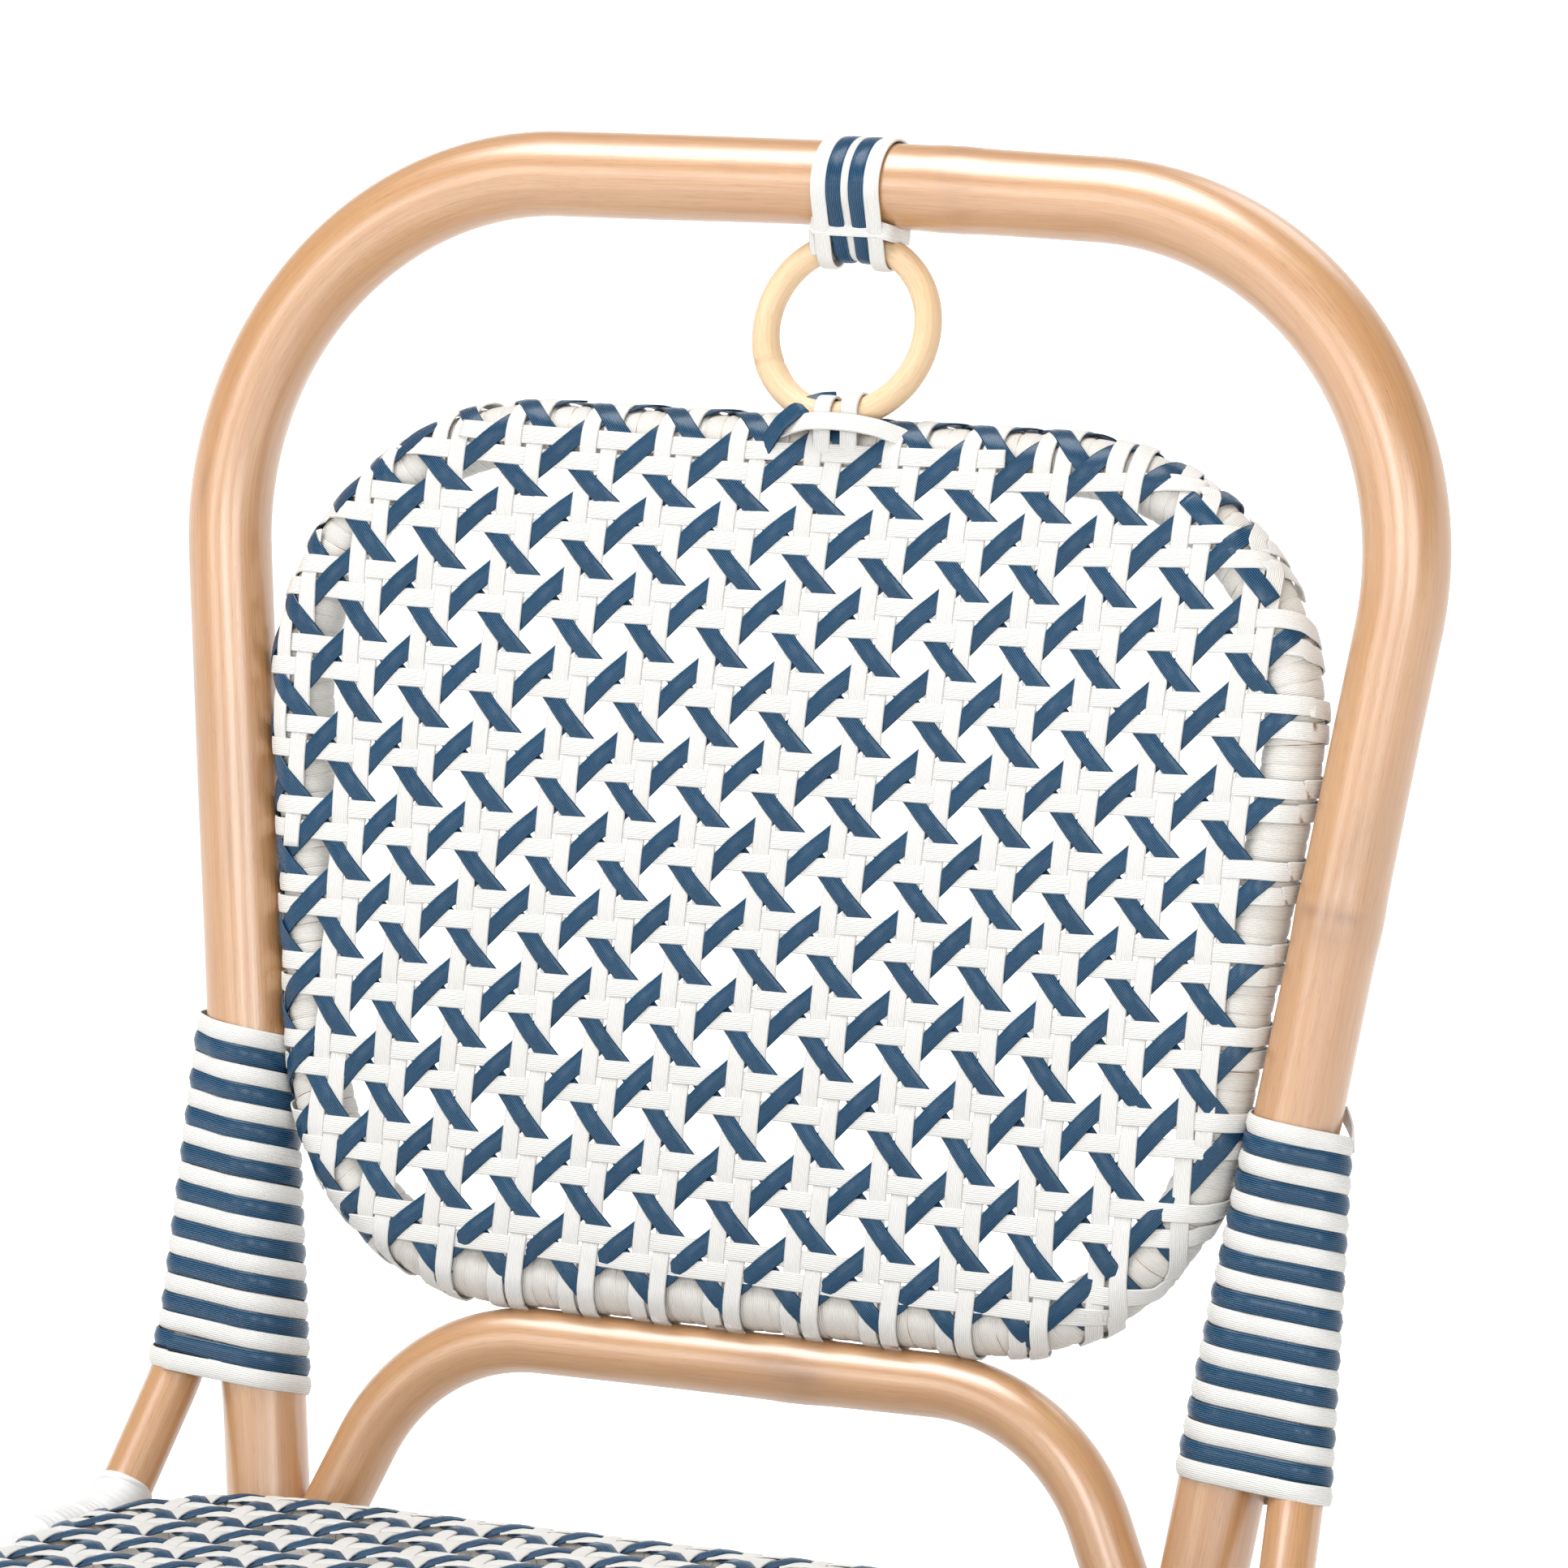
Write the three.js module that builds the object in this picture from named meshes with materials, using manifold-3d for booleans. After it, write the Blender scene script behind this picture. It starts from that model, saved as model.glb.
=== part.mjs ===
// A rattan bistro chair: bent poles, a caned back panel, a caned seat, and bindings of flat strand.
// Millimetres. +Z is up, the front of the chair looks along -Y, and the floor is at z = 0.
// The origin lies on the floor, under the middle of the chair's outer box.
// Heights on the reclined back are measured up its slope, from the top of the seat.

import * as THREE from 'three';
import Module from 'manifold-3d';
import { mergeVertices } from 'three/addons/utils/BufferGeometryUtils.js';

const wasm = await Module();
wasm.setup();

// Fits, shared by every piece
const TOUCH_GAP = 0.3;
const CUT_OVERRUN = 40;

// Back hoop, one pole that makes the back and both rear legs
const SEAT_HEIGHT = 450;
const HOOP_RADIUS = 13.5;
const HOOP_RISE = 416.5;
const HOOP_CROWN = 3.4;
const CROWN_BEND_RADIUS = 2600;
const SHOULDER_RADIUS = 111;
const POST_HALF_SPACING = 161.4;
const POST_TAPER = THREE.MathUtils.degToRad(7.7);
const BACK_RECLINE = THREE.MathUtils.degToRad(10.5);
const KNEE_DROP = 62;
const KNEE_RADIUS = 260;
const REAR_FOOT_HALF_SPACING = 184;
const REAR_FOOT_SETBACK = 62;

// Seat frame, the wrapped loop that the seat is woven on
const SEAT_BACK_CLEARANCE = 2.5;
const SEAT_DEPTH = 412;
const SEAT_REAR_HALF_WIDTH = 194;
const SEAT_SIDE_SPLAY = 18;
const SEAT_REAR_CORNER = 60;
const SEAT_FRONT_CORNER = 92;
const SEAT_FRAME_RADIUS = 10.5;

// Front leg hoop
const FRONT_SHOULDER_INSET = 31;
const FRONT_FOOT_SPLAY = 13;
const FRONT_FOOT_REACH = 20;
const FRONT_SHOULDER_RADIUS = 62;
const GLIDE_HEIGHT = 6;
const GLIDE_RADIUS = 11.5;
const GLIDE_DRAFT = 1.2;

// Inner arch, between the seat and the back panel
const ARCH_RADIUS = 10.2;
const ARCH_RISE = 51.3;
const ARCH_SHOULDER_HALF_SPACING = 109.5;
const ARCH_LEG_LEAN = THREE.MathUtils.degToRad(24.5);
const ARCH_LEG_DROP = 28;
const ARCH_SHOULDER_RADIUS = 64;

// Back panel: the wrapped frame and the cane woven over its front
const PANEL_FRAME_RADIUS = 9.4;
const PANEL_SIDE_CLEARANCE = 2.1;
const PANEL_SEAT_CLEARANCE = 0.4;
const PANEL_TOP_DROP = 70.9;
const PANEL_TOP_CORNER = 80;
const PANEL_BOTTOM_CORNER = 73;

// Woven cane, as a flat net
const CANE_PITCH = 25.3;
const CANE_OPENING = 12;
const CANE_THICKNESS = 1.7;
const CANE_EDGE_INSET = 0.6;
const CANE_FRAME_MARGIN = 1.5;
const WEAVE_SLANT = THREE.MathUtils.degToRad(2.5);

// Flat strand, used by every binding and tie
const STRAND_WIDTH = 5.3;
const STRAND_THICKNESS = 1.1;
const TIE_STRAND_WIDTH = 4.9;
const MIDDLE_STRAND_WIDTH = 2.2;
const CINCH_WIDTH = 2.1;
const TIE_SPREAD_SHARE = 0.75;

// Striped post bindings, two strands wound side by side
const BINDING_BAND = 5.9;
const WHITE_TURNS = 10;
const BLUE_TURNS = 9;
const BINDING_LOW_RISE = 33;

// Side braces, from the posts forward and down to the sides of the seat
const BRACE_RADIUS = 8.5;
const BRACE_TOP_RISE = 137;
const BRACE_TOP_STANDOFF = 8.6;
const BRACE_LEAVE_RISE = 37;
const BRACE_LEAVE_STANDOFF = 25.5;
const BRACE_LEAVE_REACH = 3.5;
const BRACE_TURN_HALF_SPACING = 199.5;
const BRACE_TURN_REACH = 34;
const BRACE_REACH = 70;
const BRACE_UPPER_BEND = 70;
const BRACE_LOWER_BEND = 30;
const BRACE_WRAP_THICKNESS = 1;
const BRACE_WRAP_LENGTH = 50;

// Hanging ring at the top of the back
const RING_POLE_RADIUS = 4.3;
const RING_OFFSET = 12.2;
const RING_LEAN_REACH = 8.6;

// Braces and stretchers under the seat
const BRACE_ARCH_RADIUS = 8;
const ARCH_FOOT_HEIGHT = 262;
const ARCH_CORNER_RADIUS = 70;
const FRONT_ARCH_HALF_SPACING = 118;
const REAR_ARCH_HALF_SPACING = 98;
const SIDE_ARCH_REAR_REACH = 92;
const SIDE_ARCH_FRONT_REACH = 326;
const STRETCHER_RADIUS = 8;
const STRETCHER_HEIGHT = 152;
const LEG_BINDING_HEIGHT = 44;

// Facets
const POLE_SIDES = 12;
const THIN_POLE_SIDES = 10;
const RING_STEPS = 24;
const BEND_STEP = THREE.MathUtils.degToRad(13);
const TURN_STEPS = 10;
const LOOP_STEPS = 16;
const GLIDE_SIDES = 16;

// Colours and finishes
const finish = (name, color, roughness) =>
  Object.assign(new THREE.MeshStandardMaterial({ color, roughness, metalness: 0 }), { name });
const rattan = () => finish('lacquered_rattan', 0xd9a869, 0.32);
const pale = () => finish('pale_rattan', 0xe2c79f, 0.55);
const white = () => finish('white_strand', 0xf2f0ea, 0.4);
const blue = () => finish('blue_strand', 0x1f4a6b, 0.38);
const nylon = () => finish('glide_nylon', 0xc9b08a, 0.6);

const vec = (x, y, z) => new THREE.Vector3(x, y, z);
const sideOf = (name) => (name === 'left' ? -1 : 1);
const SIDES = ['left', 'right'];

// Geometry helpers

// Turns a closed shell the right way round, so that its faces look out.
function faceOut(geometry) {
  const shell = geometry.index ? geometry : mergeByPlace(geometry);
  const spots = shell.attributes.position;
  const order = shell.index.array;
  const corner = [vec(), vec(), vec()];
  let volume = 0;
  for (let i = 0; i < order.length; i += 3) {
    corner.forEach((spot, k) => spot.fromBufferAttribute(spots, order[i + k]));
    volume += corner[0].dot(corner[1].cross(corner[2]));
  }
  if (volume < 0) {
    for (let i = 0; i < order.length; i += 3) {
      [order[i], order[i + 1]] = [order[i + 1], order[i]];
    }
  }
  return shell;
}

// Joins the vertices that share a place, so that the shell is closed.
function mergeByPlace(geometry) {
  const bare = new THREE.BufferGeometry();
  bare.setAttribute('position', geometry.attributes.position.clone());
  if (geometry.index) bare.setIndex(geometry.index);
  return mergeVertices(bare);
}

// A shell from a grid of points, rings by sides, closed round the sides.
// It is capped at both ends, or joined end to end where it is a loop.
function shellFromRings(rings, loop) {
  const sides = rings[0].length;
  const faces = [];
  const last = loop ? rings.length : rings.length - 1;
  for (let i = 0; i < last; i += 1) {
    const here = i * sides;
    const there = ((i + 1) % rings.length) * sides;
    for (let k = 0; k < sides; k += 1) {
      const next = (k + 1) % sides;
      faces.push(here + k, here + next, there + next, here + k, there + next, there + k);
    }
  }
  if (!loop) {
    const end = (rings.length - 1) * sides;
    for (let k = 1; k < sides - 1; k += 1) {
      faces.push(0, k + 1, k, end, end + k, end + k + 1);
    }
  }
  const places = rings.flat().flatMap((spot) => spot.toArray());
  const geometry = new THREE.BufferGeometry();
  geometry.setAttribute('position', new THREE.Float32BufferAttribute(places, 3));
  geometry.setIndex(faces);
  return faceOut(geometry);
}

// A bend of the given radius at one corner of a route.
function bendAt(before, corner, after, radius) {
  const toBefore = before.clone().sub(corner).normalize();
  const toAfter = after.clone().sub(corner).normalize();
  const opening = toBefore.angleTo(toAfter);
  const inward = toBefore.clone().add(toAfter).normalize();
  const along = toAfter.clone().sub(toBefore).normalize();
  const centre = corner.clone().addScaledVector(inward, radius / Math.sin(opening / 2));
  const sweep = Math.PI - opening;
  const steps = Math.max(1, Math.ceil(sweep / BEND_STEP));
  return Array.from({ length: steps + 1 }, (_, i) => {
    const angle = sweep * (i / steps - 0.5);
    return centre.clone()
      .addScaledVector(inward, -radius * Math.cos(angle))
      .addScaledVector(along, radius * Math.sin(angle));
  });
}

// A route of straight runs and round bends through corners, each a [place, radius] pair.
function bentRoute(corners, closed = false) {
  return corners.flatMap(([place, radius], i) => {
    const isEnd = !closed && (i === 0 || i === corners.length - 1);
    if (isEnd) return [place];
    const before = corners[(i - 1 + corners.length) % corners.length][0];
    const after = corners[(i + 1) % corners.length][0];
    return bendAt(before, place, after, radius);
  });
}

// A curve that an extrusion steps along, one step for each point of the route.
class PoleRoute extends THREE.Curve {
  constructor(points) {
    super();
    this.points = points;
  }

  getPoint(share, target = vec()) {
    const place = share * (this.points.length - 1);
    const index = Math.min(Math.floor(place), this.points.length - 2);
    return target.lerpVectors(this.points[index], this.points[index + 1], place - index);
  }

  getPointAt(share, target) {
    return this.getPoint(share, target);
  }

  getTangentAt(share, target = vec()) {
    const last = this.points.length - 1;
    const index = Math.round(share * last);
    const here = this.points[index];
    const into = here.clone().sub(this.points[Math.max(index - 1, 0)]).normalize();
    const out = this.points[Math.min(index + 1, last)].clone().sub(here).normalize();
    return target.copy(into).add(out).normalize();
  }
}

// A round pole along an open route.
function pole(points, radius, sides = POLE_SIDES) {
  const outline = Array.from({ length: sides }, (_, i) => {
    const angle = (2 * Math.PI * i) / sides;
    return new THREE.Vector2(radius * Math.cos(angle), radius * Math.sin(angle));
  });
  const extrusion = new THREE.ExtrudeGeometry(new THREE.Shape(outline), {
    steps: points.length - 1,
    extrudePath: new PoleRoute(points),
  });
  return faceOut(mergeByPlace(extrusion));
}

// A round pole along a closed flat route whose plane has the given normal.
function loopPole(points, radius, normal, sides = THIN_POLE_SIDES) {
  const count = points.length;
  const rings = points.map((here, i) => {
    const into = here.clone().sub(points[(i - 1 + count) % count]).normalize();
    const out = points[(i + 1) % count].clone().sub(here).normalize();
    const outward = into.add(out).normalize().cross(normal).normalize();
    return Array.from({ length: sides }, (_, k) => {
      const angle = (2 * Math.PI * k) / sides;
      return here.clone()
        .addScaledVector(outward, radius * Math.cos(angle))
        .addScaledVector(normal, radius * Math.sin(angle));
    });
  });
  return shellFromRings(rings, true);
}

// A flat strand along points, each with its outward direction and the direction of its width.
function strand(stations, width, thickness, loop) {
  const rings = stations.map(({ at, outward, across }) =>
    [[-1, -1], [1, -1], [1, 1], [-1, 1]].map(([wide, high]) =>
      at.clone()
        .addScaledVector(across, (wide * width) / 2)
        .addScaledVector(outward, (high * thickness) / 2)));
  return shellFromRings(rings, loop);
}

const toSolid = (geometry) => {
  const shell = mergeByPlace(geometry);
  return new wasm.Manifold(new wasm.Mesh({
    numProp: 3,
    vertProperties: Float32Array.from(shell.attributes.position.array),
    triVerts: Uint32Array.from(shell.index.array),
  }));
};

// Cuts solids away from a shell.
function cut(geometry, ...tools) {
  const result = tools.reduce((solid, tool) => solid.subtract(tool), toSolid(geometry));
  const { vertProperties, triVerts } = result.getMesh();
  const shell = new THREE.BufferGeometry();
  shell.setAttribute('position', new THREE.BufferAttribute(vertProperties, 3));
  shell.setIndex(new THREE.BufferAttribute(triVerts, 1));
  return shell;
}

// How far several round poles side by side reach in one direction of a plane.
const hullReach = (poles, outward) =>
  Math.max(...poles.map(({ centre, radius }) => centre.dot(outward) + radius + TOUCH_GAP));

// One corner of a loop laid round several round poles side by side. The loop has the given number
// of corners, and each lies where two lines that touch the poles cross, so no pole is cut.
function hullPoint(poles, axisA, axisB, angle, standoff, steps) {
  const towards = (turned) =>
    axisA.clone().multiplyScalar(Math.cos(turned)).addScaledVector(axisB, Math.sin(turned));
  const half = Math.PI / steps;
  const outward = towards(angle);
  const sideways = towards(angle + Math.PI / 2);
  const before = hullReach(poles, towards(angle - half));
  const after = hullReach(poles, towards(angle + half));
  const out = (before + after) / (2 * Math.cos(half)) + standoff;
  const along = (after - before) / (2 * Math.sin(half));
  const spot = poles[0].centre.clone();
  spot.addScaledVector(outward, out - spot.dot(outward));
  spot.addScaledVector(sideways, along - spot.dot(sideways));
  return { at: spot, outward };
}

const chair = new THREE.Group();

function add(name, geometry, material) {
  const mesh = new THREE.Mesh(geometry, material);
  mesh.name = name;
  chair.add(mesh);
  return mesh;
}

// The reclined back

const backUp = vec(0, Math.sin(BACK_RECLINE), Math.cos(BACK_RECLINE));
const backFront = vec(0, -Math.cos(BACK_RECLINE), Math.sin(BACK_RECLINE));
const acrossChair = vec(1, 0, 0);
const upright = vec(0, 0, 1);

// A place on the back: across the chair, up the slope from the seat, and out to the front.
const onBack = (across, rise, reach = 0) =>
  vec(across, 0, SEAT_HEIGHT).addScaledVector(backUp, rise).addScaledVector(backFront, reach);

// Half the distance between the posts' centres at a rise.
const postSpacing = (rise) => POST_HALF_SPACING + rise * Math.tan(POST_TAPER);

const hoopRoute = (() => {
  const half = (side) => [
    [vec(side * REAR_FOOT_HALF_SPACING, REAR_FOOT_SETBACK, 0), 0],
    [onBack(side * postSpacing(-KNEE_DROP), -KNEE_DROP), KNEE_RADIUS],
    [onBack(side * postSpacing(HOOP_RISE), HOOP_RISE), SHOULDER_RADIUS],
  ];
  const crown = [onBack(0, HOOP_RISE + HOOP_CROWN), CROWN_BEND_RADIUS];
  return bentRoute([...half(-1), crown, ...half(1).reverse()]);
})();

// The floor cut leaves each leg a flat foot that stands on its glide.
const footPlane = GLIDE_HEIGHT + TOUCH_GAP;
const floorBlock = (() => {
  const block = new THREE.BoxGeometry(2 * CUT_OVERRUN, 2 * CUT_OVERRUN, CUT_OVERRUN);
  return (foot) => toSolid(block.clone().translate(foot.x, foot.y, footPlane - CUT_OVERRUN / 2));
})();

// Carries a route's first and last runs on below the floor, so that the floor cut ends them.
function runThrough(points) {
  const count = points.length;
  const first = points[0].clone().sub(points[1]).normalize();
  const last = points[count - 1].clone().sub(points[count - 2]).normalize();
  const inner = points.slice(1, count - 1);
  const start = points[0].clone().addScaledVector(first, HOOP_RADIUS);
  const end = points[count - 1].clone().addScaledVector(last, HOOP_RADIUS);
  return [start, ...inner, end];
}

const hoopLegs = runThrough(hoopRoute);
const hoopCut = toSolid(pole(hoopLegs, HOOP_RADIUS + TOUCH_GAP));
const rearFeet = [hoopRoute[0], hoopRoute[hoopRoute.length - 1]];
add('back_hoop', cut(pole(hoopLegs, HOOP_RADIUS), ...rearFeet.map(floorBlock)), rattan());

// Inner arch: its legs lean out and are coped against the posts at the seat.
const archRoute = (() => {
  const drop = ARCH_RISE + ARCH_LEG_DROP;
  const foot = ARCH_SHOULDER_HALF_SPACING + drop * Math.tan(ARCH_LEG_LEAN);
  const half = (side) => [
    [onBack(side * foot, -ARCH_LEG_DROP), 0],
    [onBack(side * ARCH_SHOULDER_HALF_SPACING, ARCH_RISE), ARCH_SHOULDER_RADIUS],
  ];
  return bentRoute([...half(-1), ...half(1).reverse()]);
})();
add('inner_arch', cut(pole(archRoute, ARCH_RADIUS, THIN_POLE_SIDES), hoopCut), rattan());

// Back panel frame: its sides run beside the posts, with room for the bindings between,
// and its foot stands on the inner arch.
const panelSideDistance = HOOP_RADIUS + PANEL_SIDE_CLEARANCE + PANEL_FRAME_RADIUS;
const panelHalf = (rise) => postSpacing(rise) - panelSideDistance / Math.cos(POST_TAPER);
const panelTop = HOOP_RISE - PANEL_TOP_DROP - PANEL_FRAME_RADIUS;
const panelFoot = ARCH_RISE + ARCH_RADIUS + PANEL_SEAT_CLEARANCE + PANEL_FRAME_RADIUS;

// The panel frame's corners, moved in from its centre line.
function panelCorners(inset) {
  const low = panelFoot + inset;
  const high = panelTop - inset;
  return [
    [onBack(-panelHalf(low) + inset, low), PANEL_BOTTOM_CORNER - inset],
    [onBack(panelHalf(low) - inset, low), PANEL_BOTTOM_CORNER - inset],
    [onBack(panelHalf(high) - inset, high), PANEL_TOP_CORNER - inset],
    [onBack(-panelHalf(high) + inset, high), PANEL_TOP_CORNER - inset],
  ];
}

const panelLoop = bentRoute(panelCorners(0), true);
add('back_panel_frame', loopPole(panelLoop, PANEL_FRAME_RADIUS, backFront), white());

// Woven cane: a flat net with square openings, wherever an opening clears the frame's inside.
// The outline and the openings are worked out flat, in the two given directions.
function caneNet(outline, inner, centre, lean) {
  const half = CANE_OPENING / 2;
  const signs = [[-1, -1], [-1, 1], [1, 1], [1, -1]];
  const limit = Math.ceil(SEAT_DEPTH / CANE_PITCH);
  const places = [];
  for (let row = -limit; row <= limit; row += 1) {
    for (let column = -limit; column <= limit; column += 1) {
      const y = centre.y + (row + 0.5) * CANE_PITCH;
      const x = centre.x + (column + 0.5) * CANE_PITCH + (y - centre.y) * Math.tan(lean);
      const corners = signs.map(([a, b]) => ({ x: x + a * half, y: y + b * half }));
      if (corners.every((corner) => insideOutline(corner, inner))) places.push({ x, y });
    }
  }
  const opening = new THREE.BoxGeometry(CANE_OPENING, CANE_OPENING, 3 * CANE_THICKNESS);
  const tools = places.map(({ x, y }) => toSolid(opening.clone().translate(x, y, 0)));
  const sheet = new THREE.ExtrudeGeometry(new THREE.Shape(outline), {
    depth: CANE_THICKNESS,
    bevelEnabled: false,
    steps: 1,
  });
  return { net: cut(faceOut(mergeByPlace(sheet)), ...tools), openings: places.length };
}

function insideOutline(spot, outline) {
  let inside = false;
  for (let i = 0, j = outline.length - 1; i < outline.length; j = i, i += 1) {
    const a = outline[i];
    const b = outline[j];
    const crosses = (a.y > spot.y) !== (b.y > spot.y);
    if (crosses && spot.x < ((b.x - a.x) * (spot.y - a.y)) / (b.y - a.y) + a.x) inside = !inside;
  }
  return inside;
}

const flatOnBack = (spot) => {
  const from = spot.clone().sub(onBack(0, 0));
  return new THREE.Vector2(from.x, from.dot(backUp));
};

const panelNet = (() => {
  const outline = (inset) => bentRoute(panelCorners(inset), true).map(flatOnBack);
  const edge = outline(CANE_EDGE_INSET - PANEL_FRAME_RADIUS);
  const room = outline(PANEL_FRAME_RADIUS + CANE_FRAME_MARGIN);
  const centre = new THREE.Vector2(RING_OFFSET / 2, (panelTop + panelFoot) / 2 + CANE_PITCH / 2);
  return caneNet(edge, room, centre, WEAVE_SLANT);
})();
const panelFace = PANEL_FRAME_RADIUS + TOUCH_GAP;

// Seat

const seatFrontHalf = SEAT_REAR_HALF_WIDTH + SEAT_SIDE_SPLAY;
const seatRearEdge = -(HOOP_RADIUS + SEAT_BACK_CLEARANCE);
const seatFrontEdge = seatRearEdge - SEAT_DEPTH;
const seatLevel = SEAT_HEIGHT - CANE_THICKNESS - TOUCH_GAP - SEAT_FRAME_RADIUS;

// The seat's corners, moved in from its outer edge.
function seatCorners(inset, level) {
  const rear = seatRearEdge - inset;
  const front = seatFrontEdge + inset;
  return [
    [vec(-SEAT_REAR_HALF_WIDTH + inset, rear, level), SEAT_REAR_CORNER - inset],
    [vec(-seatFrontHalf + inset, front, level), SEAT_FRONT_CORNER - inset],
    [vec(seatFrontHalf - inset, front, level), SEAT_FRONT_CORNER - inset],
    [vec(SEAT_REAR_HALF_WIDTH - inset, rear, level), SEAT_REAR_CORNER - inset],
  ];
}

// Half the width of the seat frame's centre line at a place along its side.
const seatSideHalf = (y) => {
  const share = (y - seatRearEdge) / (seatFrontEdge - seatRearEdge);
  return SEAT_REAR_HALF_WIDTH - SEAT_FRAME_RADIUS + share * SEAT_SIDE_SPLAY;
};

const seatLoop = bentRoute(seatCorners(SEAT_FRAME_RADIUS, seatLevel), true);
add('seat_frame', loopPole(seatLoop, SEAT_FRAME_RADIUS, upright), white());

const seatNet = (() => {
  const flat = (spot) => new THREE.Vector2(spot.x, spot.y);
  const outline = (inset) => bentRoute(seatCorners(inset, 0), true).map(flat);
  const edge = outline(CANE_EDGE_INSET);
  const room = outline(2 * SEAT_FRAME_RADIUS + CANE_FRAME_MARGIN);
  const centre = new THREE.Vector2(0, (seatRearEdge + seatFrontEdge) / 2);
  return caneNet(edge, room, centre, 0);
})();
seatNet.net.translate(0, 0, SEAT_HEIGHT - CANE_THICKNESS);
add('seat_weave', seatNet.net, white());

// Front leg hoop, under the front of the seat frame

const frontBarLevel = seatLevel - SEAT_FRAME_RADIUS - TOUCH_GAP - HOOP_RADIUS;
const frontBarPlace = seatFrontEdge + SEAT_FRAME_RADIUS;
const frontRoute = (() => {
  const shoulder = seatFrontHalf - FRONT_SHOULDER_INSET;
  const foot = shoulder + FRONT_FOOT_SPLAY;
  const half = (side) => [
    [vec(side * foot, frontBarPlace - FRONT_FOOT_REACH, 0), 0],
    [vec(side * shoulder, frontBarPlace, frontBarLevel), FRONT_SHOULDER_RADIUS],
  ];
  return bentRoute([...half(-1), ...half(1).reverse()]);
})();
const frontLegs = runThrough(frontRoute);
const frontCut = toSolid(pole(frontLegs, HOOP_RADIUS + TOUCH_GAP));
const frontFeet = [frontRoute[0], frontRoute[frontRoute.length - 1]];
add('front_leg_hoop', cut(pole(frontLegs, HOOP_RADIUS), ...frontFeet.map(floorBlock)), rattan());

// Where a route first crosses a level of the given direction, going up or down, and how much
// longer the pole's section is there than a square one.
function crossing(points, direction, level) {
  for (let i = 0; i < points.length - 1; i += 1) {
    const here = points[i].dot(direction);
    const next = points[i + 1].dot(direction);
    if ((here - level) * (next - level) <= 0 && here !== next) {
      const centre = points[i].clone().lerp(points[i + 1], (level - here) / (next - here));
      const run = points[i + 1].clone().sub(points[i]).normalize();
      return { centre, stretch: 1 / Math.abs(run.dot(direction)) };
    }
  }
  return null;
}

// Where a leg is at a height, on the side given by its sign.
const legCrossing = (route, side, height) =>
  crossing(side < 0 ? route : [...route].reverse(), upright, height);
const legAt = (route, side, height) => legCrossing(route, side, height).centre;

// Braces under the seat: arches whose tops lie under the seat and whose feet are coped to the legs.

const archLevel = seatLevel - SEAT_FRAME_RADIUS - TOUCH_GAP - BRACE_ARCH_RADIUS;
const frontArchLevel = frontBarLevel - HOOP_RADIUS - TOUCH_GAP - BRACE_ARCH_RADIUS;
const legFoot = (route, side) => legAt(route, side, ARCH_FOOT_HEIGHT);
const archPole = (points) => pole(points, BRACE_ARCH_RADIUS, THIN_POLE_SIDES);

const frontArchRoute = bentRoute([
  [legFoot(frontRoute, -1), 0],
  [vec(-FRONT_ARCH_HALF_SPACING, frontBarPlace, frontArchLevel), ARCH_CORNER_RADIUS],
  [vec(FRONT_ARCH_HALF_SPACING, frontBarPlace, frontArchLevel), ARCH_CORNER_RADIUS],
  [legFoot(frontRoute, 1), 0],
]);
add('front_arch_brace', cut(archPole(frontArchRoute), frontCut), rattan());

const rearArchPlace = seatRearEdge - SEAT_FRAME_RADIUS;
const rearArchRoute = bentRoute([
  [legFoot(hoopRoute, -1), 0],
  [vec(-REAR_ARCH_HALF_SPACING, rearArchPlace, archLevel), ARCH_CORNER_RADIUS],
  [vec(REAR_ARCH_HALF_SPACING, rearArchPlace, archLevel), ARCH_CORNER_RADIUS],
  [legFoot(hoopRoute, 1), 0],
]);
add('rear_arch_brace', cut(archPole(rearArchRoute), hoopCut), rattan());

const sideArchRoutes = {};
for (const name of SIDES) {
  const side = sideOf(name);
  const rear = seatRearEdge - SIDE_ARCH_REAR_REACH;
  const front = seatRearEdge - SIDE_ARCH_FRONT_REACH;
  sideArchRoutes[name] = bentRoute([
    [legFoot(hoopRoute, side), 0],
    [vec(side * seatSideHalf(rear), rear, archLevel), ARCH_CORNER_RADIUS],
    [vec(side * seatSideHalf(front), front, archLevel), ARCH_CORNER_RADIUS],
    [legFoot(frontRoute, side), 0],
  ]);
}

// A side arch and the rear or front arch meet the same leg, so the side arch is cut by the others.
const archCut = (points) => toSolid(pole(points, BRACE_ARCH_RADIUS + TOUCH_GAP, THIN_POLE_SIDES));
const crossArchCuts = [archCut(frontArchRoute), archCut(rearArchRoute)];
for (const name of SIDES) {
  const arch = archPole(sideArchRoutes[name]);
  add(`${name}_arch_brace`, cut(arch, hoopCut, frontCut, ...crossArchCuts), rattan());
}

// Stretchers near the floor

const stretcherRoutes = {};
for (const name of SIDES) {
  const side = sideOf(name);
  const rear = legAt(hoopRoute, side, STRETCHER_HEIGHT);
  const front = legAt(frontRoute, side, STRETCHER_HEIGHT);
  stretcherRoutes[name] = [rear, front];
  const stretcher = pole(stretcherRoutes[name], STRETCHER_RADIUS, THIN_POLE_SIDES);
  add(`${name}_stretcher`, cut(stretcher, hoopCut, frontCut), rattan());
}
{
  const middle = ([rear, front]) => rear.clone().lerp(front, 0.5);
  const route = [middle(stretcherRoutes.left), middle(stretcherRoutes.right)];
  const tools = SIDES.map((name) =>
    toSolid(pole(stretcherRoutes[name], STRETCHER_RADIUS + TOUCH_GAP, THIN_POLE_SIDES)));
  add('cross_stretcher', cut(pole(route, STRETCHER_RADIUS, THIN_POLE_SIDES), ...tools), rattan());
}

// Foot glides

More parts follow.
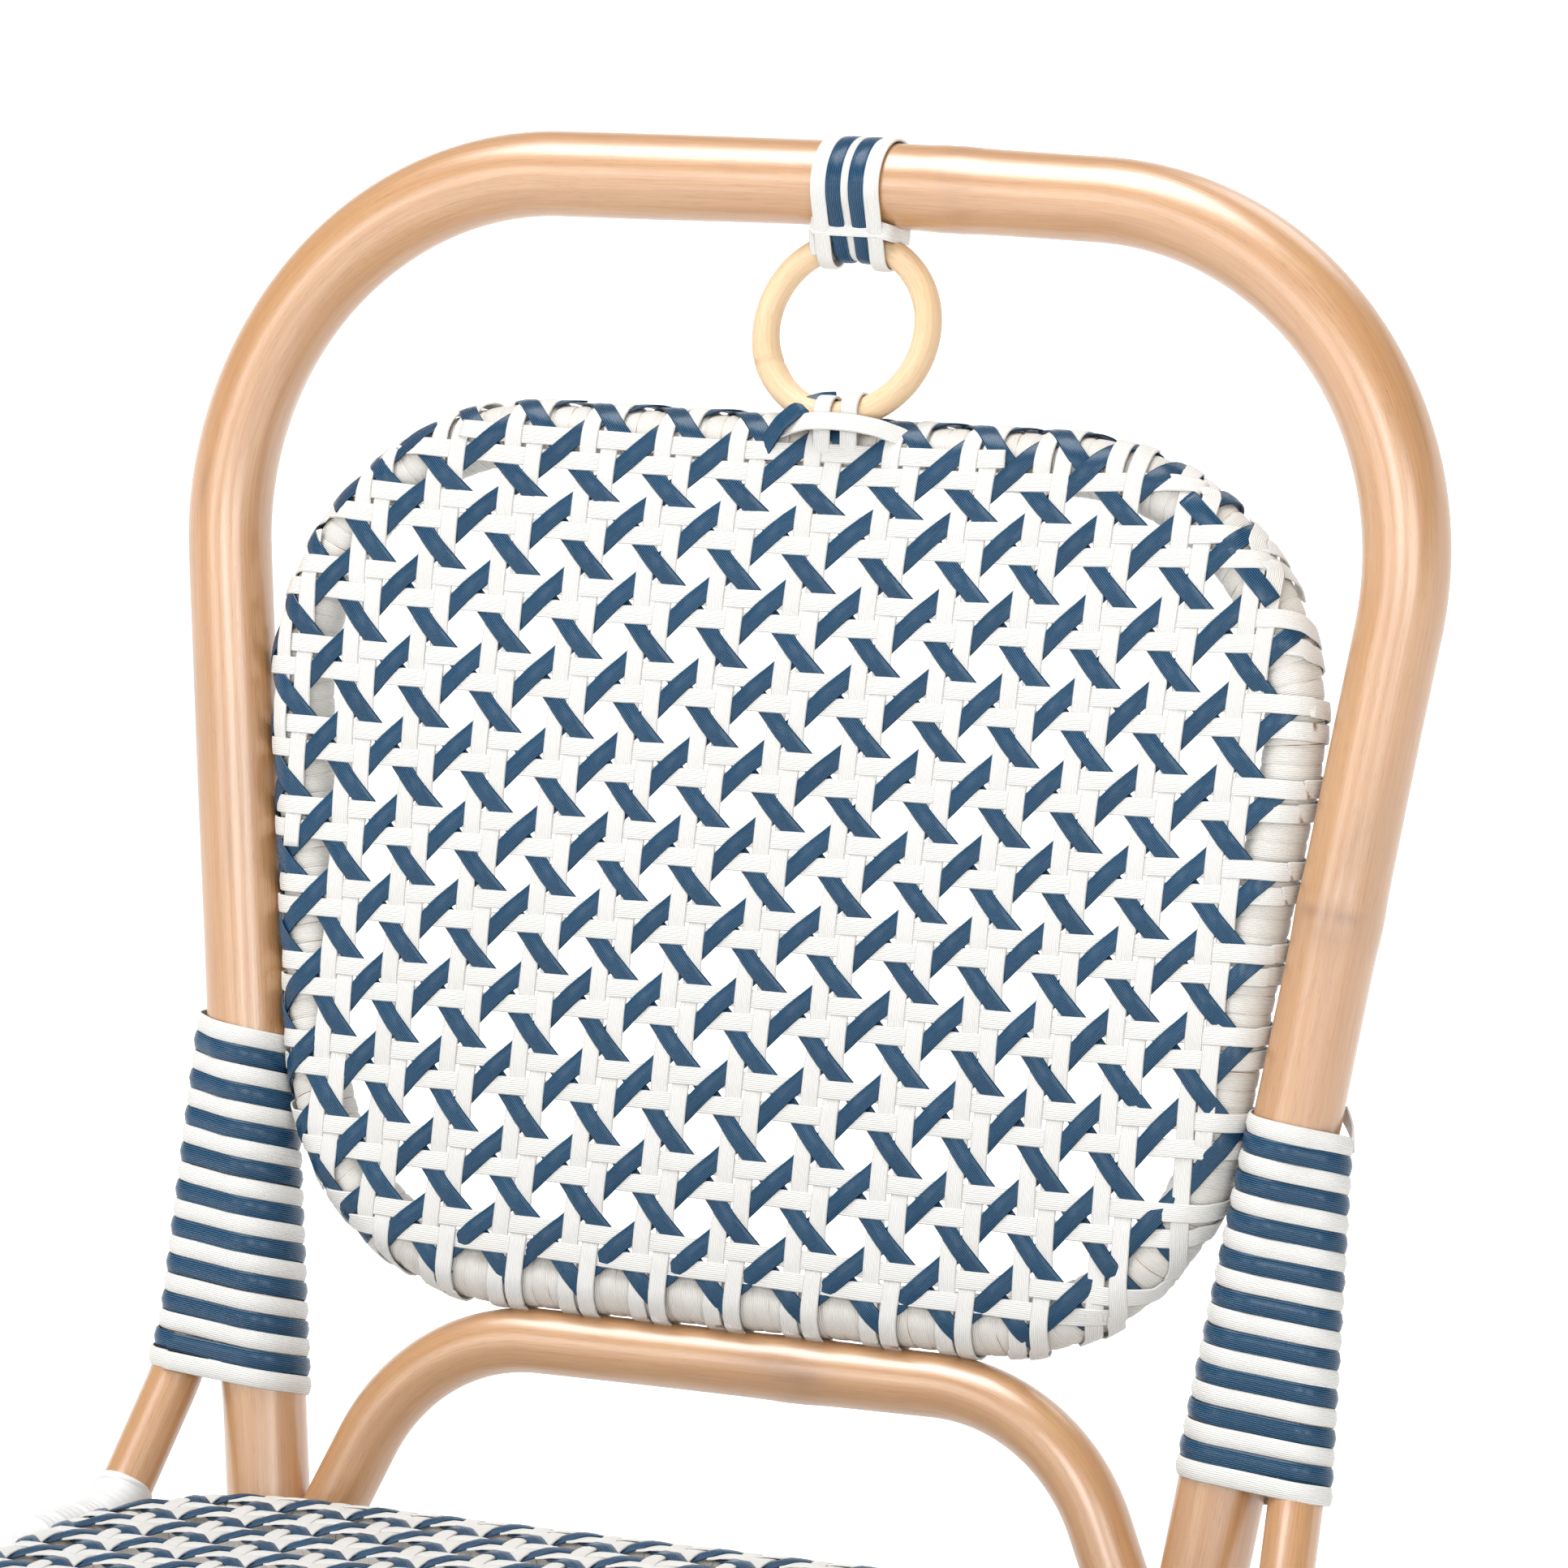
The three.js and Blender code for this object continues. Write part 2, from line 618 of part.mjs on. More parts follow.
const glideFeet = { rear: rearFeet, front: frontFeet };
for (const [end, [leftFoot, rightFoot]] of Object.entries(glideFeet)) {
  for (const [name, foot] of [['left', leftFoot], ['right', rightFoot]]) {
    const lowRadius = GLIDE_RADIUS - GLIDE_DRAFT;
    const glide = new THREE.CylinderGeometry(GLIDE_RADIUS, lowRadius, GLIDE_HEIGHT, GLIDE_SIDES);
    glide.rotateX(Math.PI / 2);
    glide.translate(foot.x, foot.y, GLIDE_HEIGHT / 2);
    add(`${end}_${name}_glide`, faceOut(mergeByPlace(glide)), nylon());
  }
}

// Side braces: each lies against its post inside the binding, then bends forward to the seat.

const wrapRadius = BRACE_RADIUS + TOUCH_GAP + BRACE_WRAP_THICKNESS;
const braceRoutes = {};
for (const name of SIDES) {
  const side = sideOf(name);
  const top = onBack(side * (postSpacing(BRACE_TOP_RISE) + BRACE_TOP_STANDOFF), BRACE_TOP_RISE);
  const leaveSpacing = postSpacing(BRACE_LEAVE_RISE) + BRACE_LEAVE_STANDOFF;
  const leave = onBack(side * leaveSpacing, BRACE_LEAVE_RISE, BRACE_LEAVE_REACH);
  const turn = vec(side * BRACE_TURN_HALF_SPACING, -BRACE_TURN_REACH, seatLevel);
  const endSpacing = seatSideHalf(-BRACE_REACH) + SEAT_FRAME_RADIUS + TOUCH_GAP + wrapRadius;
  const end = vec(side * endSpacing, -BRACE_REACH, seatLevel);
  const route = bentRoute([[top, 0], [leave, BRACE_UPPER_BEND], [turn, BRACE_LOWER_BEND], [end, 0]]);
  braceRoutes[name] = route;
  add(`${name}_side_brace`, cut(pole(route, BRACE_RADIUS, THIN_POLE_SIDES), hoopCut), rattan());
}

// The last stretch of a route, as long as asked.
function lastStretch(points, length) {
  const kept = [points[points.length - 1]];
  let left = length;
  for (let i = points.length - 1; i > 0 && left > 0; i -= 1) {
    const run = points[i].distanceTo(points[i - 1]);
    kept.unshift(points[i].clone().lerp(points[i - 1], Math.min(1, left / run)));
    left -= run;
  }
  return kept;
}

for (const name of SIDES) {
  const stretch = lastStretch(braceRoutes[name], BRACE_WRAP_LENGTH);
  const bore = lastStretch(braceRoutes[name], BRACE_WRAP_LENGTH + BRACE_RADIUS);
  const beyond = bore[bore.length - 1].clone().sub(bore[bore.length - 2]).normalize();
  bore.push(bore[bore.length - 1].clone().addScaledVector(beyond, BRACE_RADIUS));
  const core = toSolid(pole(bore, BRACE_RADIUS + TOUCH_GAP, THIN_POLE_SIDES));
  add(`${name}_brace_end_wrap`, cut(pole(stretch, wrapRadius, THIN_POLE_SIDES), core), white());
}

// Striped post bindings: a white and a blue strand wound together round the post and its brace.

const seatRiseDatum = onBack(0, 0).dot(backUp);
const riseCrossing = (points, rise) => crossing(points, backUp, seatRiseDatum + rise);

const bindingTopRise = BINDING_LOW_RISE + (WHITE_TURNS + BLUE_TURNS - 1) * BINDING_BAND;

function winding(name, turns, lowRise) {
  const side = sideOf(name);
  const lead = 2 * BINDING_BAND;
  const count = turns * TURN_STEPS;
  const [braceTop, braceNext] = braceRoutes[name];
  const carriedOn = braceTop.clone().add(braceTop).sub(braceNext);
  const braceRun = [carriedOn, ...braceRoutes[name]];
  const edgeAt = (rise, angle) => {
    const poles = [{ centre: onBack(side * postSpacing(rise), rise), radius: HOOP_RADIUS }];
    const brace = riseCrossing(braceRun, rise);
    poles.push({ centre: brace.centre, radius: BRACE_RADIUS * brace.stretch });
    return hullPoint(poles, acrossChair, backFront, angle, STRAND_THICKNESS / 2, TURN_STEPS);
  };
  const stations = Array.from({ length: count + 1 }, (_, i) => {
    const turn = i / TURN_STEPS;
    const angle = 2 * Math.PI * (turn - 0.25);
    const rise = lowRise + (turn - 0.5) * lead;
    const high = edgeAt(rise + STRAND_WIDTH / 2, angle);
    const low = edgeAt(rise - STRAND_WIDTH / 2, angle);
    const across = high.at.clone().sub(low.at).normalize();
    const outward = high.outward.clone().projectOnPlane(across).normalize();
    return { at: high.at.clone().lerp(low.at, 0.5), outward, across };
  });
  return { stations, shell: strand(stations, STRAND_WIDTH, STRAND_THICKNESS, false) };
}

// The least gap between one strand's own turns, or between two strands, measured on their points.
function leastGap(first, second, apart) {
  let least = Infinity;
  first.forEach((a, i) => second.forEach((b, j) => {
    if (Math.abs(i - j) >= apart) least = Math.min(least, a.at.distanceTo(b.at));
  }));
  return least - STRAND_WIDTH;
}

for (const name of SIDES) {
  const whiteWinding = winding(name, WHITE_TURNS, BINDING_LOW_RISE);
  const blueWinding = winding(name, BLUE_TURNS, BINDING_LOW_RISE + BINDING_BAND);
  add(`${name}_binding_white`, whiteWinding.shell, white());
  add(`${name}_binding_blue`, blueWinding.shell, blue());
  const half = TURN_STEPS / 2;
  const own = Math.min(
    leastGap(whiteWinding.stations, whiteWinding.stations, half),
    leastGap(blueWinding.stations, blueWinding.stations, half),
  );
  const between = leastGap(whiteWinding.stations, blueWinding.stations, 0);
  console.log(`${name} binding: least gap to itself ${own.toFixed(2)} mm, ` +
    `between strands ${between.toFixed(2)} mm`);
}

// Leg bindings, plain bands round each leg and the two arch feet that meet it

function sleeve(centresAt, low, high, steps) {
  const levels = [low, (low + high) / 2, high];
  const ringAt = (level, standoff) => Array.from({ length: steps }, (_, k) =>
    hullPoint(centresAt(level), acrossChair, vec(0, 1, 0), (2 * Math.PI * k) / steps, standoff, steps).at);
  const outer = levels.map((level) => ringAt(level, STRAND_THICKNESS));
  const inner = levels.map((level) => ringAt(level, 0)).reverse();
  return shellFromRings([...outer, ...inner], true);
}

const archFeet = {
  rear: { leg: hoopRoute, cross: rearArchRoute, fromRear: true },
  front: { leg: frontRoute, cross: frontArchRoute, fromRear: false },
};
for (const [end, { leg, cross, fromRear }] of Object.entries(archFeet)) {
  for (const name of SIDES) {
    const side = sideOf(name);
    const poleAt = (route, way, level, radius) => {
      const { centre, stretch } = legCrossing(route, way, level);
      return { centre, radius: radius * stretch };
    };
    const centresAt = (level) => [
      poleAt(leg, side, level, HOOP_RADIUS),
      poleAt(cross, side, level, BRACE_ARCH_RADIUS),
      poleAt(sideArchRoutes[name], fromRear ? -1 : 1, level, BRACE_ARCH_RADIUS),
    ];
    const low = ARCH_FOOT_HEIGHT + TOUCH_GAP;
    const band = sleeve(centresAt, low, low + LEG_BINDING_HEIGHT, POLE_SIDES);
    add(`${end}_${name}_leg_binding`, band, white());
  }
}

// Hanging ring, under the hoop's top and leaning on the top of the panel frame

const hoopTopRun = hoopRoute.filter((spot) => spot.z > SEAT_HEIGHT);
const hoopTop = crossing(hoopTopRun, acrossChair, RING_OFFSET).centre.dot(backUp) - seatRiseDatum;
const ringHigh = hoopTop - HOOP_RADIUS - TOUCH_GAP - RING_POLE_RADIUS;
const ringSeat = PANEL_FRAME_RADIUS + TOUCH_GAP + RING_POLE_RADIUS;
const ringLow = panelTop + Math.sqrt(ringSeat ** 2 - RING_LEAN_REACH ** 2);
const ringTopSpot = onBack(RING_OFFSET, ringHigh);
const ringFootSpot = onBack(RING_OFFSET, ringLow, RING_LEAN_REACH);
const ringUp = ringTopSpot.clone().sub(ringFootSpot).normalize();
const ringCentre = ringTopSpot.clone().lerp(ringFootSpot, 0.5);
const ringRadius = ringTopSpot.distanceTo(ringFootSpot) / 2;
const ringPlace = (() => {
  const facing = acrossChair.clone().cross(ringUp);
  return new THREE.Matrix4().makeBasis(acrossChair, ringUp, facing).setPosition(ringCentre);
})();
const ringShell = (radius) => {
  const ring = new THREE.TorusGeometry(ringRadius, radius, THIN_POLE_SIDES, RING_STEPS);
  return faceOut(mergeByPlace(ring.applyMatrix4(ringPlace)));
};
add('hanging_ring', ringShell(RING_POLE_RADIUS), pale());

// The back's weave is notched round the ring's foot.
{
  const place = new THREE.Matrix4().makeBasis(acrossChair, backUp, backFront);
  place.setPosition(onBack(0, 0, panelFace));
  const net = faceOut(panelNet.net.applyMatrix4(place));
  add('back_panel_weave', cut(net, toSolid(ringShell(RING_POLE_RADIUS + TOUCH_GAP))), white());
}

// The ring's strap: five strands side by side, each one loop round the hoop and the ring.

// The ring's pole a little way across from its top or foot, laid over for a strand at a place.
function ringPoleAt(spot, way, across, place) {
  const level = Math.sqrt(ringRadius ** 2 - across ** 2);
  const centre = spot.clone().addScaledVector(ringUp, way * (level - ringRadius));
  return {
    centre: centre.setX(RING_OFFSET + place),
    radius: (RING_POLE_RADIUS * ringRadius) / level,
  };
}

const strapStrands = [
  ['ring_strap_white_left', TIE_STRAND_WIDTH, white],
  ['ring_strap_blue_left', TIE_STRAND_WIDTH, blue],
  ['ring_strap_white_middle', MIDDLE_STRAND_WIDTH, white],
  ['ring_strap_blue_right', TIE_STRAND_WIDTH, blue],
  ['ring_strap_white_right', TIE_STRAND_WIDTH, white],
];
const strapWidth = strapStrands.reduce((sum, [, width]) => sum + width + TOUCH_GAP, -TOUCH_GAP);
const strapStations = [];
{
  let edge = -strapWidth / 2;
  for (const [name, width, colour] of strapStrands) {
    const across = edge + width / 2;
    const poles = [
      { centre: onBack(RING_OFFSET + across, hoopTop), radius: HOOP_RADIUS },
      ringPoleAt(ringTopSpot, 1, edge, across),
      ringPoleAt(ringTopSpot, 1, edge + width, across),
    ];
    const stations = Array.from({ length: LOOP_STEPS }, (_, i) => {
      const angle = (2 * Math.PI * i) / LOOP_STEPS;
      const spot = hullPoint(poles, backFront, backUp, angle, STRAND_THICKNESS / 2, LOOP_STEPS);
      return { ...spot, across: acrossChair };
    });
    add(name, strand(stations, width, STRAND_THICKNESS, true), colour());
    strapStations.push(stations);
    edge += width + TOUCH_GAP;
  }
}

// The cinch: one narrow loop round the strap, between the hoop and the ring.
{
  const side = ringPoleAt(ringTopSpot, 1, strapWidth / 2 + TOUCH_GAP, 0);
  const low = side.centre.dot(backUp) - seatRiseDatum + side.radius;
  const level = (low + hoopTop - HOOP_RADIUS) / 2;
  const corner = STRAND_THICKNESS / 2;
  const top = level + CINCH_WIDTH / 2;
  const reachOf = (stations) => {
    const outside = stations.map(({ at, outward }) => at.clone().addScaledVector(outward, corner));
    return Math.abs(riseCrossing(outside, top).centre.sub(onBack(0, top)).dot(backFront));
  };
  const reaches = (way) => Math.max(...strapStations.map((stations) =>
    reachOf(way < 0 ? stations : [...stations].reverse())));
  const corners = [[-1, -1], [1, -1], [1, 1], [-1, 1]].map(([a, b]) => ({
    centre: onBack(RING_OFFSET + a * (strapWidth / 2 - corner), level, b * (reaches(b) - corner)),
    radius: corner,
  }));
  const stations = Array.from({ length: LOOP_STEPS }, (_, i) => {
    const angle = (2 * Math.PI * i) / LOOP_STEPS;
    const spot = hullPoint(corners, acrossChair, backFront, angle, STRAND_THICKNESS / 2, LOOP_STEPS);
    return { ...spot, across: backUp };
  });
  add('ring_strap_cinch', strand(stations, CINCH_WIDTH, STRAND_THICKNESS, true), white());
}

// The ring's lower ties: two strands that hook over the ring's foot, from the front of the
// weave to the back of the panel frame.
for (const name of SIDES) {
  const fromMiddle = sideOf(name) * TIE_STRAND_WIDTH * TIE_SPREAD_SHARE;
  const across = RING_OFFSET + fromMiddle;
  const face = panelFace + CANE_THICKNESS + TOUCH_GAP + STRAND_THICKNESS / 2;
  const start = { at: onBack(across, panelTop - PANEL_FRAME_RADIUS, face), outward: backFront };
  const edges = [-1, 1].map((way) => fromMiddle + (way * TIE_STRAND_WIDTH) / 2);
  const feet = edges.map((edge) => ringPoleAt(ringFootSpot, -1, edge, fromMiddle));
  const frame = { centre: onBack(across, panelTop), radius: PANEL_FRAME_RADIUS };
  const quarter = LOOP_STEPS / 4;
  const over = Array.from({ length: 2 * quarter + 1 }, (_, i) => {
    const angle = (2 * Math.PI * i) / LOOP_STEPS;
    return hullPoint([...feet, frame], backFront, backUp, angle, STRAND_THICKNESS / 2, LOOP_STEPS);
  });
  over[0].at.addScaledVector(backFront, TOUCH_GAP);
  const end = { at: over[over.length - 1].at.clone().addScaledVector(backUp, -PANEL_FRAME_RADIUS) };
  end.outward = over[over.length - 1].outward;
  const stations = [start, ...over, end].map((spot) => ({ ...spot, across: acrossChair }));
  add(`ring_lower_tie_${name}`, strand(stations, TIE_STRAND_WIDTH, STRAND_THICKNESS, false), white());
}

// The chair is moved so that the origin lies under the middle of its outer box.

const box = new THREE.Box3().setFromObject(chair);
chair.position.set(-(box.min.x + box.max.x) / 2, -(box.min.y + box.max.y) / 2, 0);
chair.updateMatrixWorld(true);
console.log(`${panelNet.openings} openings in the back, ${seatNet.openings} in the seat, ` +
  `bindings end at rise ${bindingTopRise.toFixed(1)} mm`);

export default chair;
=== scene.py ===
"""The looks of a rattan bistro chair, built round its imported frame.

Shapes are worked out in millimetres in the chair's drawing frame, whose seat top is the datum of
the reclined back, and go into the meshes in metres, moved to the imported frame.
"""
import logging
import math
from collections.abc import Sequence
from dataclasses import dataclass, field
from enum import Enum
from typing import NamedTuple

import bpy
import numpy as np
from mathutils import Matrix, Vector


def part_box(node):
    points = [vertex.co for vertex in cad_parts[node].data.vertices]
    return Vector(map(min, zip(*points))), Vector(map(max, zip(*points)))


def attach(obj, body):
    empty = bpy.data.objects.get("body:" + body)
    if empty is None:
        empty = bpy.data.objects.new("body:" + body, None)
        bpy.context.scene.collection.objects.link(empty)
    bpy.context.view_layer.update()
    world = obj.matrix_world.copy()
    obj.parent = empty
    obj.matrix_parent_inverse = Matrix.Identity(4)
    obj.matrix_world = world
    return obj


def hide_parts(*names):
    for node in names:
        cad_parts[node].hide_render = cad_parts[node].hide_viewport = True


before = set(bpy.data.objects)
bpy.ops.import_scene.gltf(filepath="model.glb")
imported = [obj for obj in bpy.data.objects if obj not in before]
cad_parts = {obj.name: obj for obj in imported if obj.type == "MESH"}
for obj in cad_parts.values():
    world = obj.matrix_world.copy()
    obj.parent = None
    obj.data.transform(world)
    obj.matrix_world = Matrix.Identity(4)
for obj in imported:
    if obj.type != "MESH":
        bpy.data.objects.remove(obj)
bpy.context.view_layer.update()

BODY = "root"
MM = 0.001
LOG = logging.getLogger("chair")
Array = np.ndarray
Corner = tuple[Array, float]

RECLINE = math.radians(10.5)
TAPER = math.radians(7.7)
ACROSS = np.array([1.0, 0.0, 0.0])
UPRIGHT = np.array([0.0, 0.0, 1.0])
DEPTHWISE = np.array([0.0, 1.0, 0.0])
BACK_UP = np.array([0.0, math.sin(RECLINE), math.cos(RECLINE)])
BACK_FRONT = np.array([0.0, -math.cos(RECLINE), math.sin(RECLINE)])
TOUCH_GAP = 0.3
FRAME_STEP = 2.0
WOUND_PITCH = 5.9


class Side(Enum):
    """The chair's two sides, with the sign of x."""

    LEFT = -1
    RIGHT = 1

    @property
    def word(self) -> str:
        """The side's name as the frame's nodes have it."""
        return self.name.lower()


@dataclass(frozen=True)
class Plan:
    """The chair's driving sizes, in millimetres, as in the part's source."""

    seat_height: float = 450
    hoop_radius: float = 13.5
    hoop_rise: float = 416.5
    hoop_crown: float = 3.4
    crown_bend: float = 2600
    shoulder: float = 111
    post_half: float = 161.4
    knee_drop: float = 62
    knee_bend: float = 260
    rear_foot_half: float = 184
    rear_foot_setback: float = 62
    seat_rear_edge: float = -16
    seat_front_edge: float = -428
    seat_rear_half: float = 194
    seat_splay: float = 18
    seat_rear_corner: float = 60
    seat_front_corner: float = 92
    seat_pole: float = 10.5
    cane: float = 1.7
    panel_pole: float = 9.4
    panel_top: float = 336.2
    panel_foot: float = 71.3
    panel_top_corner: float = 80
    panel_foot_corner: float = 73

    @property
    def seat_level(self) -> float:
        """Height of the seat frame's centre line."""
        return self.seat_height - self.cane - TOUCH_GAP - self.seat_pole

    @property
    def shift(self) -> float:
        """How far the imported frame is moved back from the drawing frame."""
        low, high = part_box("rear_left_glide")
        return (low.y + high.y) / 2 / MM - self.rear_foot_setback

    def post_spacing(self, rise: Array | float) -> Array | float:
        """Half the distance between the posts' centres at a rise."""
        return self.post_half + rise * math.tan(TAPER)

    def panel_half(self, rise: Array | float) -> Array | float:
        """Half the width of the panel frame's centre line at a rise."""
        return self.post_spacing(rise) - (self.hoop_radius + 2.1 + self.panel_pole) / math.cos(TAPER)

    def seat_half(self, y: float) -> float:
        """Half the width of the seat frame's centre line at a place along its side."""
        share = (y - self.seat_rear_edge) / (self.seat_front_edge - self.seat_rear_edge)
        return self.seat_rear_half - self.seat_pole + share * self.seat_splay


PLAN = Plan()


def on_back(across: Array | float, rise: Array | float, reach: Array | float = 0) -> Array:
    """Points on the reclined back: across, up its slope and out to the front, added up.

    Args:
        across: distance to the chair's right.
        rise: distance up the slope from the seat.
        reach: distance out to the front.

    Returns:
        The points, with a last axis of three.
    """
    across, rise, reach = np.broadcast_arrays(across, rise, reach)
    start = np.array([0.0, 0.0, PLAN.seat_height])
    return (start + across[..., None] * ACROSS + rise[..., None] * BACK_UP
            + reach[..., None] * BACK_FRONT)


# The seat top's level along the back's slope.
DATUM = on_back(0, 0) @ BACK_UP


def unit(v: Array) -> Array:
    """Vectors over their own length."""
    return v / np.maximum(np.linalg.norm(v, axis=-1, keepdims=True), 1e-12)


def arc_at(before: Array, corner: Array, after: Array, radius: float, step: float) -> Array:
    """The corner of a route, rounded: an arc that touches both runs.

    With half the corner's angle h, the arc starts radius / tan(h) from the corner, and its middle
    lies radius / sin(h) along the bisector.

    Args:
        before: the corner before.
        corner: the corner itself.
        after: the corner after.
        radius: the arc's radius, or 0 for the sharp corner.
        step: the arc's step in millimetres.

    Returns:
        The arc's points.
    """
    a, b = unit(before - corner), unit(after - corner)
    half = math.acos(float(np.clip(a @ b, -1, 1))) / 2
    if radius <= 0 or half > math.pi / 2 - 1e-5:
        return corner[None]
    middle = corner + unit(a + b) * radius / math.sin(half)
    start = corner + a * radius / math.tan(half) - middle
    other = corner + b * radius / math.tan(half) - middle
    span = math.pi - 2 * half
    sideways = unit(other - start * (start @ other) / (start @ start)) * radius
    turn = np.linspace(0, span, max(3, int(span * radius / step) + 1))[:, None]
    return middle + start * np.cos(turn) + sideways * np.sin(turn)


def bent_route(corners: list[Corner], closed: bool = False, step: float = 3) -> Array:
    """A route through rounded corners, resampled to even steps.

    Args:
        corners: each corner and its bend's radius.
        closed: whether the route comes back to its start.
        step: the step along it.

    Returns:
        The points, the first one not repeated where the route is closed.
    """
    spots = [np.asarray(c, float) for c, _ in corners]
    radii = [r for _, r in corners]
    count = len(spots)
    parts = []
    for i in range(count):
        if not closed and i in (0, count - 1):
            parts.append(spots[i][None])
        else:
            parts.append(arc_at(spots[i - 1], spots[i], spots[(i + 1) % count], radii[i], step / 2))
    return even(np.concatenate(parts), step, closed)


def even(points: Array, step: float, closed: bool = False) -> Array:
    """Points at even steps along a line through the given ones.

    Args:
        points: the line's points.
        step: about how far apart the new ones lie.
        closed: whether the line comes back to its start.

    Returns:
        The new points.
    """
    line = np.concatenate([points, points[:1]]) if closed else points
    along = stretch_of(line)
    count = max(2, int(round(along[-1] / step)))
    wanted = np.linspace(0, along[-1], count + 1)
    new = looked_up(wanted, along, line)
    return new[:-1] if closed else new


def looked_up(wanted: Array | float, places: Array, table: Array) -> Array:
    """Each column of a table, whose rows lie at rising places, at the wanted ones."""
    return np.stack([np.interp(wanted, places, column) for column in table.T], -1)


def stretch_of(points: Array) -> Array:
    """Distance along a line at each of its points."""
    steps = np.linalg.norm(np.diff(points, axis=0), axis=1)
    return np.concatenate([[0], np.cumsum(steps)])


def directions(points: Array, closed: bool = False) -> Array:
    """The line's direction at each point, the difference of its neighbours."""
    if closed:
        return unit(np.roll(points, -1, 0) - np.roll(points, 1, 0))
    return unit(np.gradient(points, axis=0))


def eased(share: Array | float) -> Array | float:
    """A share held to 0..1 and eased at both ends, x x (3 - 2 x)."""
    held = np.clip(share, 0, 1)
    return held * held * (3 - 2 * held)


@dataclass
class Sleeve:
    """A frame carried along a line: places, sideways and other directions."""

    points: Array
    reference: Array
    closed: bool = False
    run: Array = field(init=False)
    side: Array = field(init=False)
    other: Array = field(init=False)

    def __post_init__(self) -> None:
        """Works out the directions: side is the reference less its part along the run."""
        self.run = directions(self.points, self.closed)
        ref = np.broadcast_to(self.reference, self.points.shape)
        along = np.sum(ref * self.run, -1, keepdims=True)
        self.side = unit(ref - along * self.run)
        self.other = np.cross(self.run, self.side)

    def skin(self, radius: Array | float, sides: int = 40) -> tuple[Array, Array]:
        """A round tube: place + radius * (cos * side + sin * other).

        Args:
            radius: the tube's radius, one number, one for each row, or rows by sides of them.
            sides: how many points go round it.

        Returns:
            The grid of points, and at each the vector (radius * cos, radius * sin, distance along).
        """
        turn = np.linspace(0, 2 * math.pi, sides, endpoint=False)
        by_row = radius[:, None] if np.ndim(radius) == 1 else radius
        rad = np.broadcast_to(by_row, (len(self.points), sides))
        a, b = rad * np.cos(turn), rad * np.sin(turn)
        grid = (self.points[:, None] + a[..., None] * self.side[:, None]
                + b[..., None] * self.other[:, None])
        along = np.broadcast_to(stretch_of(self.points)[:, None], rad.shape)
        return grid, np.stack([a, b, along], -1)


class Skin:
    """Gathers grids of points into one mesh, with a few values kept at every point."""

    def __init__(self) -> None:
        """Starts with nothing."""
        self.points: list[Array] = []
        self.faces: list[Array] = []
        self.ends: list[Array] = []
        self.lie: list[Array] = []
        self.tone: list[Array] = []
        self.count = 0

    def grid(self, grid: Array, lie: Array, tone: Array | float = 0.0, along: bool = False) -> "Skin":
        """Adds one tube of rows by columns, whose columns go anticlockwise about its rows.

        Args:
            grid: rows by columns by three.
            lie: a vector at each point, such as its place across, round and along the piece.
            tone: a value at each point, such as a mark or a tint.
            along: whether the last row joins the first; both ends are closed where it does not.

        Returns:
            The skin itself.
        """
        rows, cols = grid.shape[:2]
        index = np.arange(rows * cols).reshape(rows, cols) + self.count
        if not along:
            self.ends += [index[0, ::-1], index[-1]]
        index = np.concatenate([index, index[:, :1]], 1)
        if along:
            index = np.concatenate([index, index[:1]], 0)
        quads = np.stack([index[:-1, :-1], index[:-1, 1:], index[1:, 1:], index[1:, :-1]], -1)
        self.faces.append(quads.reshape(-1, 4))
        self.points.append(grid.reshape(-1, 3))
        self.lie.append(np.broadcast_to(lie, grid.shape).reshape(-1, 3))
        self.tone.append(np.broadcast_to(tone, grid.shape[:2]).reshape(-1))
        self.count += rows * cols
        return self

    def piece(self, name: str, look: "Look", *nodes: str) -> None:
        """Makes the mesh an object that rides on the chair.

        Args:
            name: the piece's name.
            look: its material and slot.
            *nodes: the frame's nodes that it stands for.
        """
        material, slot = look
        points = (np.concatenate(self.points) + [0, PLAN.shift, 0]) * MM
        quads = np.concatenate(self.faces)
        mesh = bpy.data.meshes.new(name)
        mesh.vertices.add(len(points))
        mesh.vertices.foreach_set("co", points.astype(np.float32).ravel())
        corners = np.concatenate([quads.ravel(), *self.ends]).astype(np.int32)
        sizes = np.concatenate([np.full(len(quads), 4), [len(e) for e in self.ends]]).astype(np.int32)
        mesh.loops.add(len(corners))
        mesh.loops.foreach_set("vertex_index", corners)
        mesh.polygons.add(len(sizes))
        starts = np.concatenate([[0], np.cumsum(sizes)[:-1]])
        mesh.polygons.foreach_set("loop_start", starts.astype(np.int32))
        mesh.polygons.foreach_set("use_smooth", np.arange(len(sizes)) < len(quads))
        lie = mesh.attributes.new("lie", "FLOAT_VECTOR", "POINT")
        lie.data.foreach_set("vector", (np.concatenate(self.lie) * MM).astype(np.float32).ravel())
        tone = mesh.attributes.new("tone", "FLOAT", "POINT")
        tone.data.foreach_set("value", np.concatenate(self.tone).astype(np.float32))
        mesh.update(calc_edges=True)
        mesh.validate()
        mesh.materials.append(material)
        thing = bpy.data.objects.new(name, mesh)
        bpy.context.scene.collection.objects.link(thing)
        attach(thing, BODY)
        if nodes:
            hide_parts(*nodes)
        LOG.info("%s: %d points, %d faces", name, len(points), len(sizes))


# Finishes


